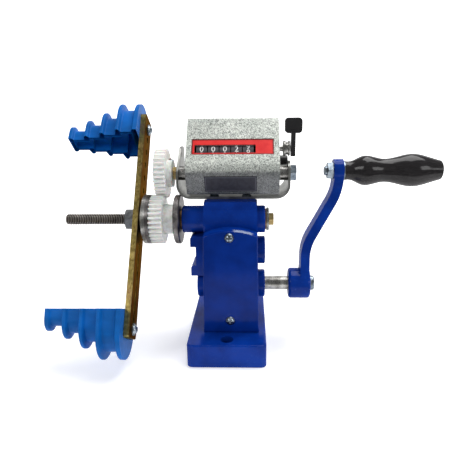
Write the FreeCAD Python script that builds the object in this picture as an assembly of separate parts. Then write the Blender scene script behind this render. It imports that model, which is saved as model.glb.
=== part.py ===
# Hand-cranked wire coil winding machine, millimetres.
# Frame: origin at the middle of the base's underside, +Z up, +X along the spindle towards the crank,
# -Y towards the side with the gear cover and the counter's window.
import FreeCAD, Part
import math
import os

os.makedirs("parts", exist_ok=True)
Vector = FreeCAD.Vector
X_AXIS = Vector(1, 0, 0)
Y_AXIS = Vector(0, 1, 0)
Z_AXIS = Vector(0, 0, 1)

# Clearances
running_fit = 0.03
loose_fit = 0.25
face_gap = 0.1
backlash = 0.14
tip_room = 1.2
screw_end_gap = 1.0

# How far joined stretches of one piece run into each other, and how near an edge lies to count as found
run_in = 1.0
edge_find = 0.01

# Base and column casting
base_width = 66.0
base_depth = 108.0
base_height = 20.0
base_corner_radius = 5.0
base_edge_radius = 1.5
base_hole_diameter = 11.0
base_hole_inset = 10.5
column_middle_x = 3.4
column_top_width = 44.8
column_foot_width = 47.6
column_depth = 63.0
column_wall = 4.0
column_arch_rise = 4.9
column_arch_height = 110.5
cover_thickness = 4.0
cover_edge_radius = 1.2
chamber_floor = 26.0
front_boss_left = 5.0
front_boss_right = 3.0
front_boss_depth = 11.0
front_boss_rise = 4.0

# Shaft heights follow from the gear pairs
spindle_height = 113.0
spindle_diameter = 10.0
crank_shaft_diameter = 12.0
idler_axle_diameter = 8.0
idler_axle_inset = 1.0
first_module = 1.0
crank_gear_teeth = 48
idler_pinion_teeth = 15
second_module = 0.8
idler_gear_teeth = 50
spindle_pinion_teeth = 20
counter_module = 1.25
counter_gear_teeth = 32
gear_face = 8.0
pinion_overhang = 1.0

# Barrel, tubes and bosses round the shafts
barrel_radius = 17.0
barrel_left = -19.6
barrel_right = 25.6
barrel_pad_half_depth = 13.0
barrel_pad_height = 17.6
barrel_pad_chamfer = 1.6
barrel_pad_chamfer_drop = 5.0
tube_radius = 11.8
tube_left = -38.7
tube_right = 32.6
boss_radius = 12.2
boss_edge = 1.2
left_boss_face = -27.2
bush_wall = 2.0
bush_length = 16.0
bush_flange_thickness = 1.0
bush_flange_radius = 9.0
side_pad_half_depth = 13.0
side_pad_top = 101.0
side_pad_foot = 65.2
side_lug_face = -31.8
side_lug_height = 9.6
side_lug_radius = 3.0

# Spindle stack, from the crank end to the thread
collar_radius = 21.4
collar_thickness = 5.0
white_hub_radius = 13.0
white_rim_width = 11.0
white_hub_length = 9.6
clamp_disc_radius = 21.4
flat_disc_thickness = 2.9
dished_disc_rim = 3.2
dished_disc_rise = 3.9
dished_disc_flat_radius = 9.0
strip_thickness = 4.8
nut_height = 8.0
nut_across_flats = 17.0
nut_turn = 14.0
thread_length = 52.6
thread_radius = 4.84
shaft_chamfer = 1.0
collar_edge = 0.8
end_washer_radius = 10.0
end_washer_thickness = 2.0
end_bolt_diameter = 6.0
end_bolt_across_flats = 10.0
end_bolt_head = 4.2
end_bolt_length = 14.0

# Arm strip with its row of holes and its slot
strip_lean = 34.5
strip_width = 23.0
strip_corner_radius = 3.0
strip_top_reach = 99.5
strip_bottom_reach = 102.5
strip_hole_diameter = 5.0
strip_hole_pitch = 12.75
strip_hole_count = 5
upper_screw_margin = 11.3
last_hole_step = 10.45
slot_width = 5.0
slot_length = 77.5
slot_end_margin = 2.8
lower_screw_margin = 7.3

# Stepped winding forms
form_crest_first = 2.4
form_crest_pitch = 15.1
form_crest_half_width = 1.7
form_crest_foot_half_width = 3.1
form_crest_radii = (22.0, 22.0, 17.3, 13.2, 9.8)
form_groove_radii = (18.6, 14.4, 10.7, 7.6)
form_side_share = 0.84
form_wall = 2.8
form_end_wall = 5.0
form_screw_rise = 16.5
form_screw_diameter = 4.0
form_screw_depth = 4.5
form_turn = 8.0
screw_head_radius = 4.0
screw_head_height = 2.8
form_washer_radius = 5.0
form_washer_thickness = 1.0

# Crank
crank_radius = 101.0
crank_boss_left = 53.5
crank_boss_right = 72.7
crank_boss_radius = 13.6
crank_boss_edge = 2.5
crank_head_radius = 9.6
crank_arm_thickness = 8.0
crank_arm_waist = 15.0
crank_arm_taper = 0.5
crank_arm_foot_flare = 1.0
crank_arm_foot_run = 12.0
crank_arm_head_run = 4.0
crank_arm_foot_x = 67.6
crank_head_x = 93.0
crank_bend_height = 26.0
crank_bend_radius = 42.0
crank_head_straight = 6.0
crank_nut_radius = 6.5
crank_nut_height = 4.0
crank_nut_edge = 1.0
crank_stud_diameter = 6.0

# Handle
handle_gap = 0.5
handle_length = 80.0
handle_ferrule_radius = 7.9
handle_profile = ((5.5, 8.0), (15.0, 12.1), (31.0, 9.8), (55.5, 13.6), (73.5, 9.6), (78.0, 8.3))
handle_end_round = 2.0
handle_end_bulge = 0.6
handle_ferrule_length = 0.8
handle_bolt_diameter = 8.0
handle_bolt_head_radius = 5.2
handle_bolt_head_height = 3.5
handle_bolt_head_inset = 1.0
handle_bolt_slot_width = 1.4
handle_bolt_slot_depth = 1.4
handle_bolt_chamfer = 1.0
handle_nut_height = 5.0
handle_nut_across_flats = 13.0
handle_bolt_tail = 2.5
washer_thickness = 1.2

# Counter and its bracket
counter_gear_lean = 16.7
case_left = -33.8
case_right = 44.2
case_wall = 1.5
case_bend = (-14.5, 157.5)
case_top = (19.0, 198.0)
case_depth = 34.0
case_foot_front = (-4.0, 135.4)
case_foot_back_y = 24.0
case_bend_radius = 12.0
case_corner_radius = 2.0
end_plate_thickness = 2.0
plate_width = 68.2
plate_height = 14.7
plate_thickness = 0.8
plate_recess = 0.5
plate_gap = 0.35
ledge_width = 1.5
ledge_thickness = 1.0
plate_up = 22.8
plate_middle_x = 5.2
window_width = 51.1
window_height = 8.0
window_up = 21.0
window_middle_x = -1.15
name_plate_width = 43.6
name_plate_height = 15.0
name_plate_up = -13.6
name_plate_middle_x = 3.5
wheel_count = 5
wheel_pitch = 9.73
wheel_first_x = -20.7
wheel_width = 8.9
wheel_radius = 9.5
wheel_set_back = 11.0
wheel_axle_diameter = 4.0
wheel_web = 2.0
wheel_rim = 1.6
wheel_hub_radius = 3.6
wheel_axle_inset = 0.5
bracket_sheet = 2.0
bracket_left = -43.5
bracket_right = 54.0
bracket_front = 0.0
bracket_depth = 44.0
bracket_bend_radius = 12.0
left_ear_front_height = 22.0
left_ear_top = 172.0
left_ear_slope_back = 27.0
left_ear_foot_corner = 0.5
left_ear_back_corner = 6.0
left_ear_front_corner = 8.0
ear_hole_diameter = 5.0
ear_hole_back = 27.0
ear_hole_height = 165.5
right_ear_radius = 10.5
bracket_screw_spacing = 28.0
bracket_screw_middle_x = 2.6
bracket_screw_back = 5.0
bracket_screw_diameter = 5.0
bracket_screw_depth = 9.0
bracket_screw_head_radius = 4.5
bracket_screw_head_height = 2.2
counter_shaft_diameter = 6.0
sleeve_diameter = 8.0
sleeve_inner_reach = 1.5
sleeve_spacer_wall = 2.0
pivot_spacer_wall = 2.5
pivot_bolt_inner_reach = 3.0
brass_nut_height = 3.6
brass_nut_across_flats = 10.0
pivot_bolt_diameter = 8.0
pivot_bolt_across_flats = 13.0
pivot_bolt_head = 5.3
counter_hub_length = 4.4
counter_rim_width = 9.8
counter_hub_radius = 12.0
drive_drum_radius = 4.6
drive_drum_width = 6.0
set_screw_diameter = 3.0
set_screw_stand_out = 0.6
set_screw_socket_depth = 1.5

# Zeroing lever on the counter's crank side
reset_y = 12.0
reset_height = 172.0
reset_shaft_diameter = 5.0
reset_shaft_inner_x = 33.0
reset_shaft_end_inset = 0.6
reset_stop_length = 3.0
reset_stop_wall = 2.0
reset_collar_radius = 6.5
reset_collar_edge = 0.6
reset_groove_depth = 1.2
reset_groove_left_land = 2.0
reset_groove_right_land = 1.2
reset_groove_slope = 0.4
reset_collar_left = 47.8
reset_collar_right = 53.5
lever_left = 54.3
lever_right = 58.1
lever_width = 8.0
lever_foot = 6.4
lever_stem_run_in = 2.0
lever_paddle_left = 49.0
lever_paddle_right = 63.7
lever_paddle_foot = 12.8
lever_paddle_top = 25.5
lever_paddle_thickness = 4.4
lever_paddle_corner = 3.0
stud_angle = 53.6
stud_gap = 0.7
stud_radius = 4.3
stud_length = 8.6
stud_edge = 1.2

# Cover screws
cover_screw_diameter = 4.0
cover_screw_depth = 10.0
cover_screw_top = 105.0
cover_screw_foot = 31.2
cover_screw_x = 2.6

# Sizes worked out from the ones above
first_distance = first_module * (crank_gear_teeth + idler_pinion_teeth) / 2
second_distance = second_module * (idler_gear_teeth + spindle_pinion_teeth) / 2
counter_distance = counter_module * counter_gear_teeth
idler_height = spindle_height - second_distance
crank_height = idler_height - first_distance
front_y = -column_depth / 2
back_y = column_depth / 2
chamber_front = front_y + cover_thickness
chamber_back = back_y - column_wall
chamber_left = column_middle_x - column_top_width / 2 + column_wall
chamber_right = column_middle_x + column_top_width / 2 - column_wall
chamber_roof = column_arch_height - column_arch_rise - cover_screw_diameter - column_wall / 2
spindle_gear_left = -6.0
crank_gear_left = chamber_right - 3.0 - gear_face
counter_y = counter_distance * math.sin(math.radians(counter_gear_lean))
counter_height = spindle_height + counter_distance * math.cos(math.radians(counter_gear_lean))
bush_bore_radius = spindle_diameter / 2 + bush_wall
collar_right = tube_left - bush_flange_thickness - face_gap
collar_left = collar_right - collar_thickness
white_hub_left = collar_left - white_hub_length
white_rim_left = white_hub_left - white_rim_width
flat_disc_left = white_rim_left - flat_disc_thickness
dished_disc_left = flat_disc_left - dished_disc_rim - dished_disc_rise
strip_left = dished_disc_left - strip_thickness
nut_left = strip_left - nut_height
spindle_left = nut_left - thread_length
upper_screw_reach = strip_top_reach - upper_screw_margin
lower_screw_reach = strip_bottom_reach - lower_screw_margin
slot_outer_end = strip_bottom_reach - slot_end_margin
bracket_foot = spindle_height + barrel_pad_height
bracket_top = bracket_foot + bracket_sheet
deep = 400.0


def box(x0, x1, y0, y1, z0, z1):
    """A block between two corners."""
    return Part.makeBox(x1 - x0, y1 - y0, z1 - z0, Vector(x0, y0, z0))


def rod_x(x0, x1, radius, y, z):
    """A round bar along X."""
    return Part.makeCylinder(radius, x1 - x0, Vector(x0, y, z), X_AXIS)


def rod_y(y0, y1, radius, x, z):
    """A round bar along Y."""
    return Part.makeCylinder(radius, y1 - y0, Vector(x, y0, z), Y_AXIS)


def rod_z(z0, z1, radius, x, y):
    """A round bar along Z."""
    return Part.makeCylinder(radius, z1 - z0, Vector(x, y, z0), Z_AXIS)


def ring_x(x0, x1, outer, inner, y, z):
    """A ring or bush along X."""
    return rod_x(x0, x1, outer, y, z).cut(rod_x(x0, x1, inner, y, z))


def turned_x(profile, y, z):
    """A turned piece: (x, radius) corners spun about the X line through y, z."""
    points = [Vector(x, y, z + r) for x, r in profile]
    face = Part.Face(Part.makePolygon(points + points[:1]))
    return face.revolve(Vector(0, y, z), X_AXIS, 360)


def hexagon_x(x0, x1, across_flats, y, z, turn=0.0):
    """A hexagonal bar along X with its corners chamfered on the outer side."""
    corner = across_flats / math.sqrt(3)
    angles = [math.radians(60 * k + turn) for k in range(6)]
    points = [Vector(x0, y - corner * math.cos(a), z + corner * math.sin(a)) for a in angles]
    bar = Part.Face(Part.makePolygon(points + points[:1])).extrude(Vector(x1 - x0, 0, 0))
    flat = across_flats / 2
    drop = (corner - flat) * math.tan(math.radians(30))
    profile = [(x0, 0), (x0, flat), (x0 + drop, corner), (x1 - drop, corner), (x1, flat), (x1, 0)]
    return bar.common(turned_x(profile, y, z))


def plate_face(points, radii):
    """A flat face through (y, z) corners in the plane x = 0, with a rounding radius at each corner."""
    count = len(points)
    corners = [Vector(0, y, z) for y, z in points]
    arcs = []
    for k in range(count):
        before = (corners[k - 1] - corners[k]).normalize()
        after = (corners[(k + 1) % count] - corners[k]).normalize()
        half = before.getAngle(after) / 2
        setback = radii[k] / math.tan(half)
        start = corners[k] + before * setback
        end = corners[k] + after * setback
        inward = (before + after).normalize()
        middle = corners[k] + inward * (radii[k] / math.sin(half) - radii[k])
        arcs.append((start, middle, end))
    edges = []
    for k in range(count):
        start, middle, end = arcs[k]
        edges.append(Part.Arc(start, middle, end).toShape())
        edges.append(Part.makeLine(end, arcs[(k + 1) % count][0]))
    return Part.Face(Part.Wire(edges))


def slab_x(points, radii, x0, x1):
    """A rounded outline in Y and Z, pulled from x0 to x1."""
    face = plate_face(points, radii)
    face.translate(Vector(x0, 0, 0))
    return face.extrude(Vector(x1 - x0, 0, 0))


def involute_point(base_radius, radius, start_angle, side):
    """The point of the involute at a radius; side is +1 or -1 for the two flanks."""
    roll = math.sqrt(max((radius / base_radius) ** 2 - 1, 0))
    angle = start_angle + side * (roll - math.atan(roll))
    return radius * math.cos(angle), radius * math.sin(angle)


def spur_gear(teeth, module, x0, x1, y, z, bore, first_tooth_angle):
    """A spur gear along X; a tooth points at first_tooth_angle, in degrees from +Z towards +Y."""
    pressure = math.radians(20)
    pitch = teeth * module / 2
    base = pitch * math.cos(pressure)
    tip = pitch + module
    root = pitch - 1.25 * module
    involute_at_pitch = math.tan(pressure) - pressure
    half_tooth = math.pi / (2 * teeth) - backlash / (2 * pitch) + involute_at_pitch
    low = max(base, root + 0.05 * module)
    turn = math.radians(first_tooth_angle)
    step = 2 * math.pi / teeth

    def place(point, tooth):
        angle = math.atan2(point[1], point[0]) + turn + tooth * step
        radius = math.hypot(point[0], point[1])
        return Vector(x0, y + radius * math.sin(angle), z + radius * math.cos(angle))

    def at(radius, angle):
        return radius * math.cos(angle), radius * math.sin(angle)

    middle_radius = (low + tip) / 2
    edges = []
    for tooth in range(teeth):
        rise = [involute_point(base, r, -half_tooth, 1) for r in (low, middle_radius, tip)]
        fall = [involute_point(base, r, half_tooth, -1) for r in (tip, middle_radius, low)]
        foot_angle = math.atan2(rise[0][1], rise[0][0])
        foot_in = at(root, foot_angle)
        foot_out = at(root, -foot_angle)
        next_foot = at(root, foot_angle + step)
        valley = at(root, step / 2)
        edges.append(Part.makeLine(place(foot_in, tooth), place(rise[0], tooth)))
        edges.append(Part.Arc(*[place(p, tooth) for p in rise]).toShape())
        edges.append(Part.Arc(place(rise[2], tooth), place((tip, 0), tooth), place(fall[0], tooth)).toShape())
        edges.append(Part.Arc(*[place(p, tooth) for p in fall]).toShape())
        edges.append(Part.makeLine(place(fall[2], tooth), place(foot_out, tooth)))
        edges.append(Part.Arc(*[place(p, tooth) for p in (foot_out, valley, next_foot)]).toShape())
    outline = Part.Face(Part.Wire(edges))
    return outline.extrude(Vector(x1 - x0, 0, 0)).cut(rod_x(x0, x1, bore, y, z))


def pan_head_y(y_face, x, z, head_radius, head_height, shank_radius, depth):
    """A cross-slotted pan-head screw driven in the +Y direction from a face at y_face."""
    ball_radius = (head_radius ** 2 + head_height ** 2) / (2 * head_height)
    ball = Part.makeSphere(ball_radius, Vector(x, y_face - head_height + ball_radius, z))
    head = ball.common(rod_y(y_face - head_height, y_face, head_radius, x, z))
    shank = rod_y(y_face, y_face + depth, shank_radius, x, z)
    slot = head_radius / 5
    length = head_radius * 0.6
    cut_depth = head_height * 0.55
    top = y_face - head_height
    cross = box(x - slot / 2, x + slot / 2, top, top + cut_depth, z - length, z + length)
    cross = cross.fuse(box(x - length, x + length, top, top + cut_depth, z - slot / 2, z + slot / 2))
    return head.fuse(shank).cut(cross).removeSplitter()


def turned(shape, start, end):
    """A copy carried by the turn that takes one axis direction to another."""
    copy = shape.copy()
    turn = FreeCAD.Rotation(start, end)
    copy.Placement = FreeCAD.Placement(Vector(0, 0, 0), turn)
    return copy


def pan_head(face_point, direction, head_radius, head_height, shank_radius, depth):
    """A pan-head screw at a point, driven along a direction."""
    screw = pan_head_y(0, 0, 0, head_radius, head_height, shank_radius, depth)
    screw = turned(screw, Y_AXIS, direction)
    screw.translate(face_point)
    return screw


def lean(shape, half_turn=False):
    """Carries a piece drawn on the upright strip to the strip's rest angle about the spindle."""
    angle = -strip_lean + (180 if half_turn else 0)
    copy = shape.copy()
    copy.rotate(Vector(0, 0, spindle_height), X_AXIS, angle)
    return copy


def column_outline(height, inset=0.0):
    """The tombstone outline of the column in X and Z: drafted sides under a shallow arch."""
    half_top = column_top_width / 2 - inset
    half_foot = column_foot_width / 2 - inset
    shoulder = height - column_arch_rise
    left_foot = Vector(column_middle_x - half_foot, 0, base_height)
    left_top = Vector(column_middle_x - half_top, 0, shoulder)
    crown = Vector(column_middle_x, 0, height)
    right_top = Vector(column_middle_x + half_top, 0, shoulder)
    right_foot = Vector(column_middle_x + half_foot, 0, base_height)
    edges = [
        Part.makeLine(left_foot, left_top),
        Part.Arc(left_top, crown, right_top).toShape(),
        Part.makeLine(right_top, right_foot),
        Part.makeLine(right_foot, left_foot),
    ]
    return Part.Face(Part.Wire(edges))


def base_block():
    """The thick foot with rounded corners and two bolt holes in line."""
    half_width = base_width / 2
    half_depth = base_depth / 2
    block = box(-half_width, half_width, -half_depth, half_depth, 0, base_height)
    upright = [e for e in block.Edges if e.BoundBox.ZLength > base_height - edge_find]
    block = block.makeFillet(base_corner_radius, upright)
    rim = [e for e in block.Edges if min(v.Z for v in e.Vertexes) > base_height - edge_find]
    block = block.makeFillet(base_edge_radius, rim)
    hole_y = half_depth - base_hole_inset
    for y in (-hole_y, hole_y):
        block = block.cut(rod_z(0, base_height, base_hole_diameter / 2, 0, y))
    return block


def barrel():
    """The spindle barrel with its flat pad for the counter bracket."""
    body = rod_x(barrel_left, barrel_right, barrel_radius, 0, spindle_height)
    top = spindle_height + barrel_pad_height
    low = top - barrel_pad_chamfer_drop
    corners = [
        Vector(barrel_left, 0, spindle_height),
        Vector(barrel_left, 0, low),
        Vector(barrel_left + barrel_pad_chamfer, 0, top),
        Vector(barrel_right - barrel_pad_chamfer, 0, top),
        Vector(barrel_right, 0, low),
        Vector(barrel_right, 0, spindle_height),
    ]
    pad = Part.Face(Part.makePolygon(corners + corners[:1])).extrude(Vector(0, 2 * barrel_pad_half_depth, 0))
    pad.translate(Vector(0, -barrel_pad_half_depth, 0))
    return body.fuse(pad)


def boss(x0, x1, radius, z, outer_end):
    """A round boss along X with a softened rim at its outer end."""
    body = rod_x(x0, x1, radius, 0, z)
    rings = [e for e in body.Edges if e.BoundBox.XLength < edge_find]
    rim = [e for e in rings if abs(e.BoundBox.XMin - outer_end) < edge_find]
    return body.makeFillet(boss_edge, rim)


def side_pad():
    """The raised pad on the strip side with a lug at its top and its foot."""
    inner = column_middle_x - column_top_width / 2 + run_in
    half = side_pad_half_depth
    pad = box(left_boss_face, inner, -half, half, side_pad_foot, side_pad_top)
    lower = box(side_lug_face, inner, -half, half, side_pad_foot, side_pad_foot + side_lug_height)
    upper = box(side_lug_face, inner, -half, half, side_pad_top - side_lug_height, side_pad_top)
    for lug in (lower, upper):
        high = max(v.Z for v in lug.Vertexes)
        outer = [e for e in lug.Edges if e.BoundBox.XMax < side_lug_face + edge_find]
        corner = [e for e in outer if e.BoundBox.ZMin > high - edge_find]
        pad = pad.fuse(lug.makeFillet(side_lug_radius, corner))
    return pad


def gear_chamber():
    """The room inside the column for the gear train."""
    room = box(chamber_left, chamber_right, front_y, chamber_back, chamber_floor, chamber_roof)
    idler_tip = second_module * (idler_gear_teeth / 2 + 1)
    pinion_tip = second_module * (spindle_pinion_teeth / 2 + 1)
    pocket_left = spindle_gear_left - 2 * pinion_overhang
    pocket_right = spindle_gear_left + gear_face + 2 * pinion_overhang
    idler_pocket = rod_x(pocket_left, pocket_right, idler_tip + tip_room, 0, idler_height)
    pinion_pocket = rod_x(pocket_left, pocket_right, pinion_tip + tip_room, 0, spindle_height)
    neck = box(pocket_left, pocket_right, -pinion_tip, pinion_tip, idler_height, spindle_height)
    return room.fuse(idler_pocket).fuse(pinion_pocket).fuse(neck)


def cast_frame():
    """Base, column, barrel, tubes and bosses in one casting."""
    column = column_outline(column_arch_height).extrude(Vector(0, column_depth - cover_thickness, 0))
    column.translate(Vector(0, chamber_front, 0))
    body = base_block().fuse(column).fuse(barrel())
    body = body.fuse(boss(tube_left, barrel_left + run_in, tube_radius, spindle_height, tube_left))
    body = body.fuse(boss(barrel_right - run_in, tube_right, tube_radius, spindle_height, tube_right))
    column_side = column_middle_x + column_top_width / 2 - run_in
    for z in (idler_height, crank_height):
        body = body.fuse(boss(column_side, tube_right, boss_radius, z, tube_right))
    left_side = column_middle_x - column_top_width / 2 + run_in
    body = body.fuse(boss(left_boss_face, left_side, boss_radius, crank_height, left_boss_face))
    body = body.fuse(side_pad())
    body = body.cut(gear_chamber())
    front_boss = box(cover_screw_x - front_boss_left, cover_screw_x + front_boss_right, chamber_front,
                     chamber_front + front_boss_depth, chamber_floor - run_in,
                     cover_screw_foot + front_boss_rise)
    body = body.fuse(front_boss)
    body = body.cut(rod_x(tube_left, tube_right, bush_bore_radius, 0, spindle_height))
    crank_bush_radius = crank_shaft_diameter / 2 + bush_wall
    body = body.cut(rod_x(left_boss_face, tube_right, crank_bush_radius, 0, crank_height))
    body = body.cut(rod_x(left_boss_face, tube_right, idler_axle_diameter / 2, 0, idler_height))
    for z in (cover_screw_top, cover_screw_foot):
        body = body.cut(rod_y(chamber_front, chamber_front + cover_screw_depth, cover_screw_diameter / 2,
                              cover_screw_x, z))
    for x in bracket_screw_places():
        body = body.cut(rod_z(bracket_foot - bracket_screw_depth, bracket_foot + run_in,
                              bracket_screw_diameter / 2, x, bracket_screw_y()))
    return body.removeSplitter()


def front_cover():
    """The arched plate that closes the gear chamber."""
    plate = column_outline(column_arch_height, face_gap).extrude(Vector(0, cover_thickness, 0))
    plate.translate(Vector(0, front_y, face_gap))
    front_face = [e for e in plate.Edges if e.BoundBox.YMax < front_y + edge_find]
    plate = plate.makeFillet(cover_edge_radius, front_face)
    for z in (cover_screw_top, cover_screw_foot):
        plate = plate.cut(rod_y(front_y, chamber_front, cover_screw_diameter / 2, cover_screw_x, z))
    return plate


def cover_screws():
    """Two pan-head screws through the cover."""
    depth = cover_thickness + cover_screw_depth - screw_end_gap
    heads = []
    for z in (cover_screw_top, cover_screw_foot):
        heads.append(pan_head_y(front_y, cover_screw_x, z, screw_head_radius, screw_head_height,
                                cover_screw_diameter / 2, depth))
    return Part.makeCompound(heads)


def spindle_bush(outer_x, direction):
    """A flanged bronze bush pressed into the barrel from one end."""
    inner_x = outer_x + direction * bush_length
    sleeve = ring_x(min(outer_x, inner_x), max(outer_x, inner_x), bush_bore_radius,
                    spindle_diameter / 2 + running_fit, 0, spindle_height)
    flange_x = outer_x - direction * bush_flange_thickness
    flange = ring_x(min(outer_x, flange_x), max(outer_x, flange_x), bush_flange_radius,
                    spindle_diameter / 2 + running_fit, 0, spindle_height)
    return sleeve.fuse(flange).removeSplitter()


def crank_bush(x0, x1):
    """A plain bronze bush for the crank shaft."""
    inner = crank_shaft_diameter / 2 + running_fit
    return ring_x(x0, x1, crank_shaft_diameter / 2 + bush_wall, inner, 0, crank_height)


def idler_axle():
    """The fixed axle that carries the idler pair."""
    return rod_x(left_boss_face + idler_axle_inset, tube_right - idler_axle_inset, idler_axle_diameter / 2, 0,
                 idler_height)


def spindle_shaft():
    """The spindle; its left end carries the thread."""
    right = tube_right + bush_flange_thickness
    radius = spindle_diameter / 2
    profile = [(spindle_left, 0), (spindle_left, thread_radius - shaft_chamfer),
               (spindle_left + shaft_chamfer, thread_radius), (nut_left, thread_radius), (nut_left, radius),
               (right, radius), (right, 0)]
    shaft = turned_x(profile, 0, spindle_height)
    return shaft.cut(rod_x(right - end_bolt_length, right, end_bolt_diameter / 2, 0, spindle_height))


def end_bolt():
    """The brass-coloured hexagon bolt in the end of the spindle."""
    washer_left = tube_right + bush_flange_thickness + face_gap
    head_left = washer_left + end_washer_thickness
    head = hexagon_x(head_left, head_left + end_bolt_head, end_bolt_across_flats, 0, spindle_height, 8)
    shank_left = tube_right + bush_flange_thickness - end_bolt_length + screw_end_gap
    shank = rod_x(shank_left, head_left, end_bolt_diameter / 2, 0, spindle_height)
    return head.fuse(shank).removeSplitter()


def end_washer():
    """The thin washer between the bolt head and the right bush."""
    left = tube_right + bush_flange_thickness + face_gap
    return ring_x(left, left + end_washer_thickness, end_washer_radius, end_bolt_diameter / 2, 0,
                  spindle_height)


def spindle_collar():
    """The turned steel disc beside the left tube."""
    edge = collar_edge
    r = collar_radius
    bore = spindle_diameter / 2
    profile = [(collar_left, bore), (collar_left, r - edge), (collar_left + edge, r),
               (collar_right - edge, r), (collar_right, r - edge), (collar_right, bore)]
    return turned_x(profile, 0, spindle_height)


def white_gear(rim_left, rim_width, hub_length, hub_radius, y, z, bore, tooth_angle):
    """A moulded white gear with a plain hub on its crank side."""
    rim = spur_gear(counter_gear_teeth, counter_module, rim_left, rim_left + rim_width, y, z, bore,
                    tooth_angle)
    hub = ring_x(rim_left + rim_width, rim_left + rim_width + hub_length, hub_radius, bore, y, z)
    return rim.fuse(hub).removeSplitter()


def flat_disc():
    """The thin steel disc against the white gear."""
    return ring_x(flat_disc_left, white_rim_left, clamp_disc_radius, spindle_diameter / 2, 0, spindle_height)


def dished_disc():
    """The dished bright washer that presses on the strip with its raised middle."""
    bore = spindle_diameter / 2
    rim_left = flat_disc_left - dished_disc_rim
    profile = [(dished_disc_left, bore), (dished_disc_left, dished_disc_flat_radius),
               (rim_left, clamp_disc_radius), (flat_disc_left, clamp_disc_radius), (flat_disc_left, bore)]
    return turned_x(profile, 0, spindle_height)


def arm_strip():
    """The zinc-yellow strip: round holes up one half and a long slot down the other."""
    half = strip_width / 2
    top = spindle_height + strip_top_reach
    foot = spindle_height - strip_bottom_reach
    outline = [(-half, foot), (half, foot), (half, top), (-half, top)]
    strip = slab_x(outline, [strip_corner_radius] * 4, strip_left, strip_left + strip_thickness)
    strip = strip.cut(rod_x(strip_left, strip_left + strip_thickness, spindle_diameter / 2, 0,
                            spindle_height))
    reaches = [upper_screw_reach]
    reaches += [upper_screw_reach - last_hole_step - k * strip_hole_pitch for k in range(strip_hole_count)]
    for reach in reaches:
        strip = strip.cut(rod_x(strip_left, strip_left + strip_thickness, strip_hole_diameter / 2, 0,
                                spindle_height + reach))
    half_slot = slot_width / 2
    slot_low = spindle_height - slot_outer_end
    slot_high = slot_low + slot_length
    slot_outline = [(-half_slot, slot_low), (half_slot, slot_low), (half_slot, slot_high),
                    (-half_slot, slot_high)]
    slot = slab_x(slot_outline, [half_slot - edge_find] * 4, strip_left, strip_left + strip_thickness)
    return lean(strip.cut(slot))


def form_section(x, radius):
    """One U-shaped outline of the form, flat side down at height 0."""
    side = radius * form_side_share
    a = Vector(x, -radius, 0)
    b = Vector(x, -radius, side)
    crown = Vector(x, 0, side + radius)
    c = Vector(x, radius, side)
    d = Vector(x, radius, 0)
    edges = [Part.makeLine(a, b), Part.Arc(b, crown, c).toShape(), Part.makeLine(c, d), Part.makeLine(d, a)]
    return Part.Wire(edges)


def form_stations():
    """Distance from the strip and outline radius at each change of slope."""
    stations = [(0.0, form_crest_radii[0])]
    for k, crest in enumerate(form_crest_radii):
        middle = form_crest_first + k * form_crest_pitch
        if k > 0:
            stations.append((middle - form_crest_foot_half_width, form_groove_radii[k - 1]))
            stations.append((middle - form_crest_half_width, crest))
        stations.append((middle + form_crest_half_width, crest))
        if k < len(form_groove_radii):
            stations.append((middle + form_crest_foot_half_width, form_groove_radii[k]))
    return stations


def winding_form(face_x):
    """The stepped hollow form, flat open side down, its thick end wall against the strip at face_x."""
    wires = [form_section(face_x - distance, radius) for distance, radius in form_stations()]
    body = Part.makeLoft(wires, True, True)
    reach = form_end_wall
    for k, groove in enumerate(form_groove_radii):
        inner = groove - form_wall
        end = form_crest_first + (k + 1) * form_crest_pitch - form_crest_half_width
        room = Part.Face(form_section(face_x - end, inner)).extrude(Vector(end - reach, 0, 0))
        body = body.cut(room)
        reach = end
    pilot = rod_x(face_x - form_screw_depth, face_x, form_screw_diameter / 2, 0, form_screw_rise)
    return body.cut(pilot)


def form_screw(face_x):
    """A pan-head screw from the strip's crank side into the form's end wall, with its washer."""
    head_face = strip_left + strip_thickness + face_gap + form_washer_thickness
    depth = head_face - face_x + form_screw_depth
    screw = pan_head(Vector(head_face, 0, form_screw_rise), Vector(-1, 0, 0), screw_head_radius,
                     screw_head_height, form_screw_diameter / 2, depth)
    washer = ring_x(head_face - form_washer_thickness, head_face, form_washer_radius,
                    form_screw_diameter / 2, 0, form_screw_rise)
    return Part.makeCompound([screw, washer])


def on_strip(shape, screw_reach, lower=False):
    """Turns a form or screw about the screw, its open side frontwards, and carries it out along the strip."""
    copy = shape.copy()
    copy.rotate(Vector(0, 0, form_screw_rise), X_AXIS, form_turn if lower else -form_turn)
    copy.translate(Vector(0, 0, spindle_height + screw_reach - form_screw_rise))
    return lean(copy, lower)


def crank_shaft():
    """The crank shaft from its left boss to the crank arm."""
    return rod_x(left_boss_face, crank_boss_right, crank_shaft_diameter / 2, 0, crank_height)


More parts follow.
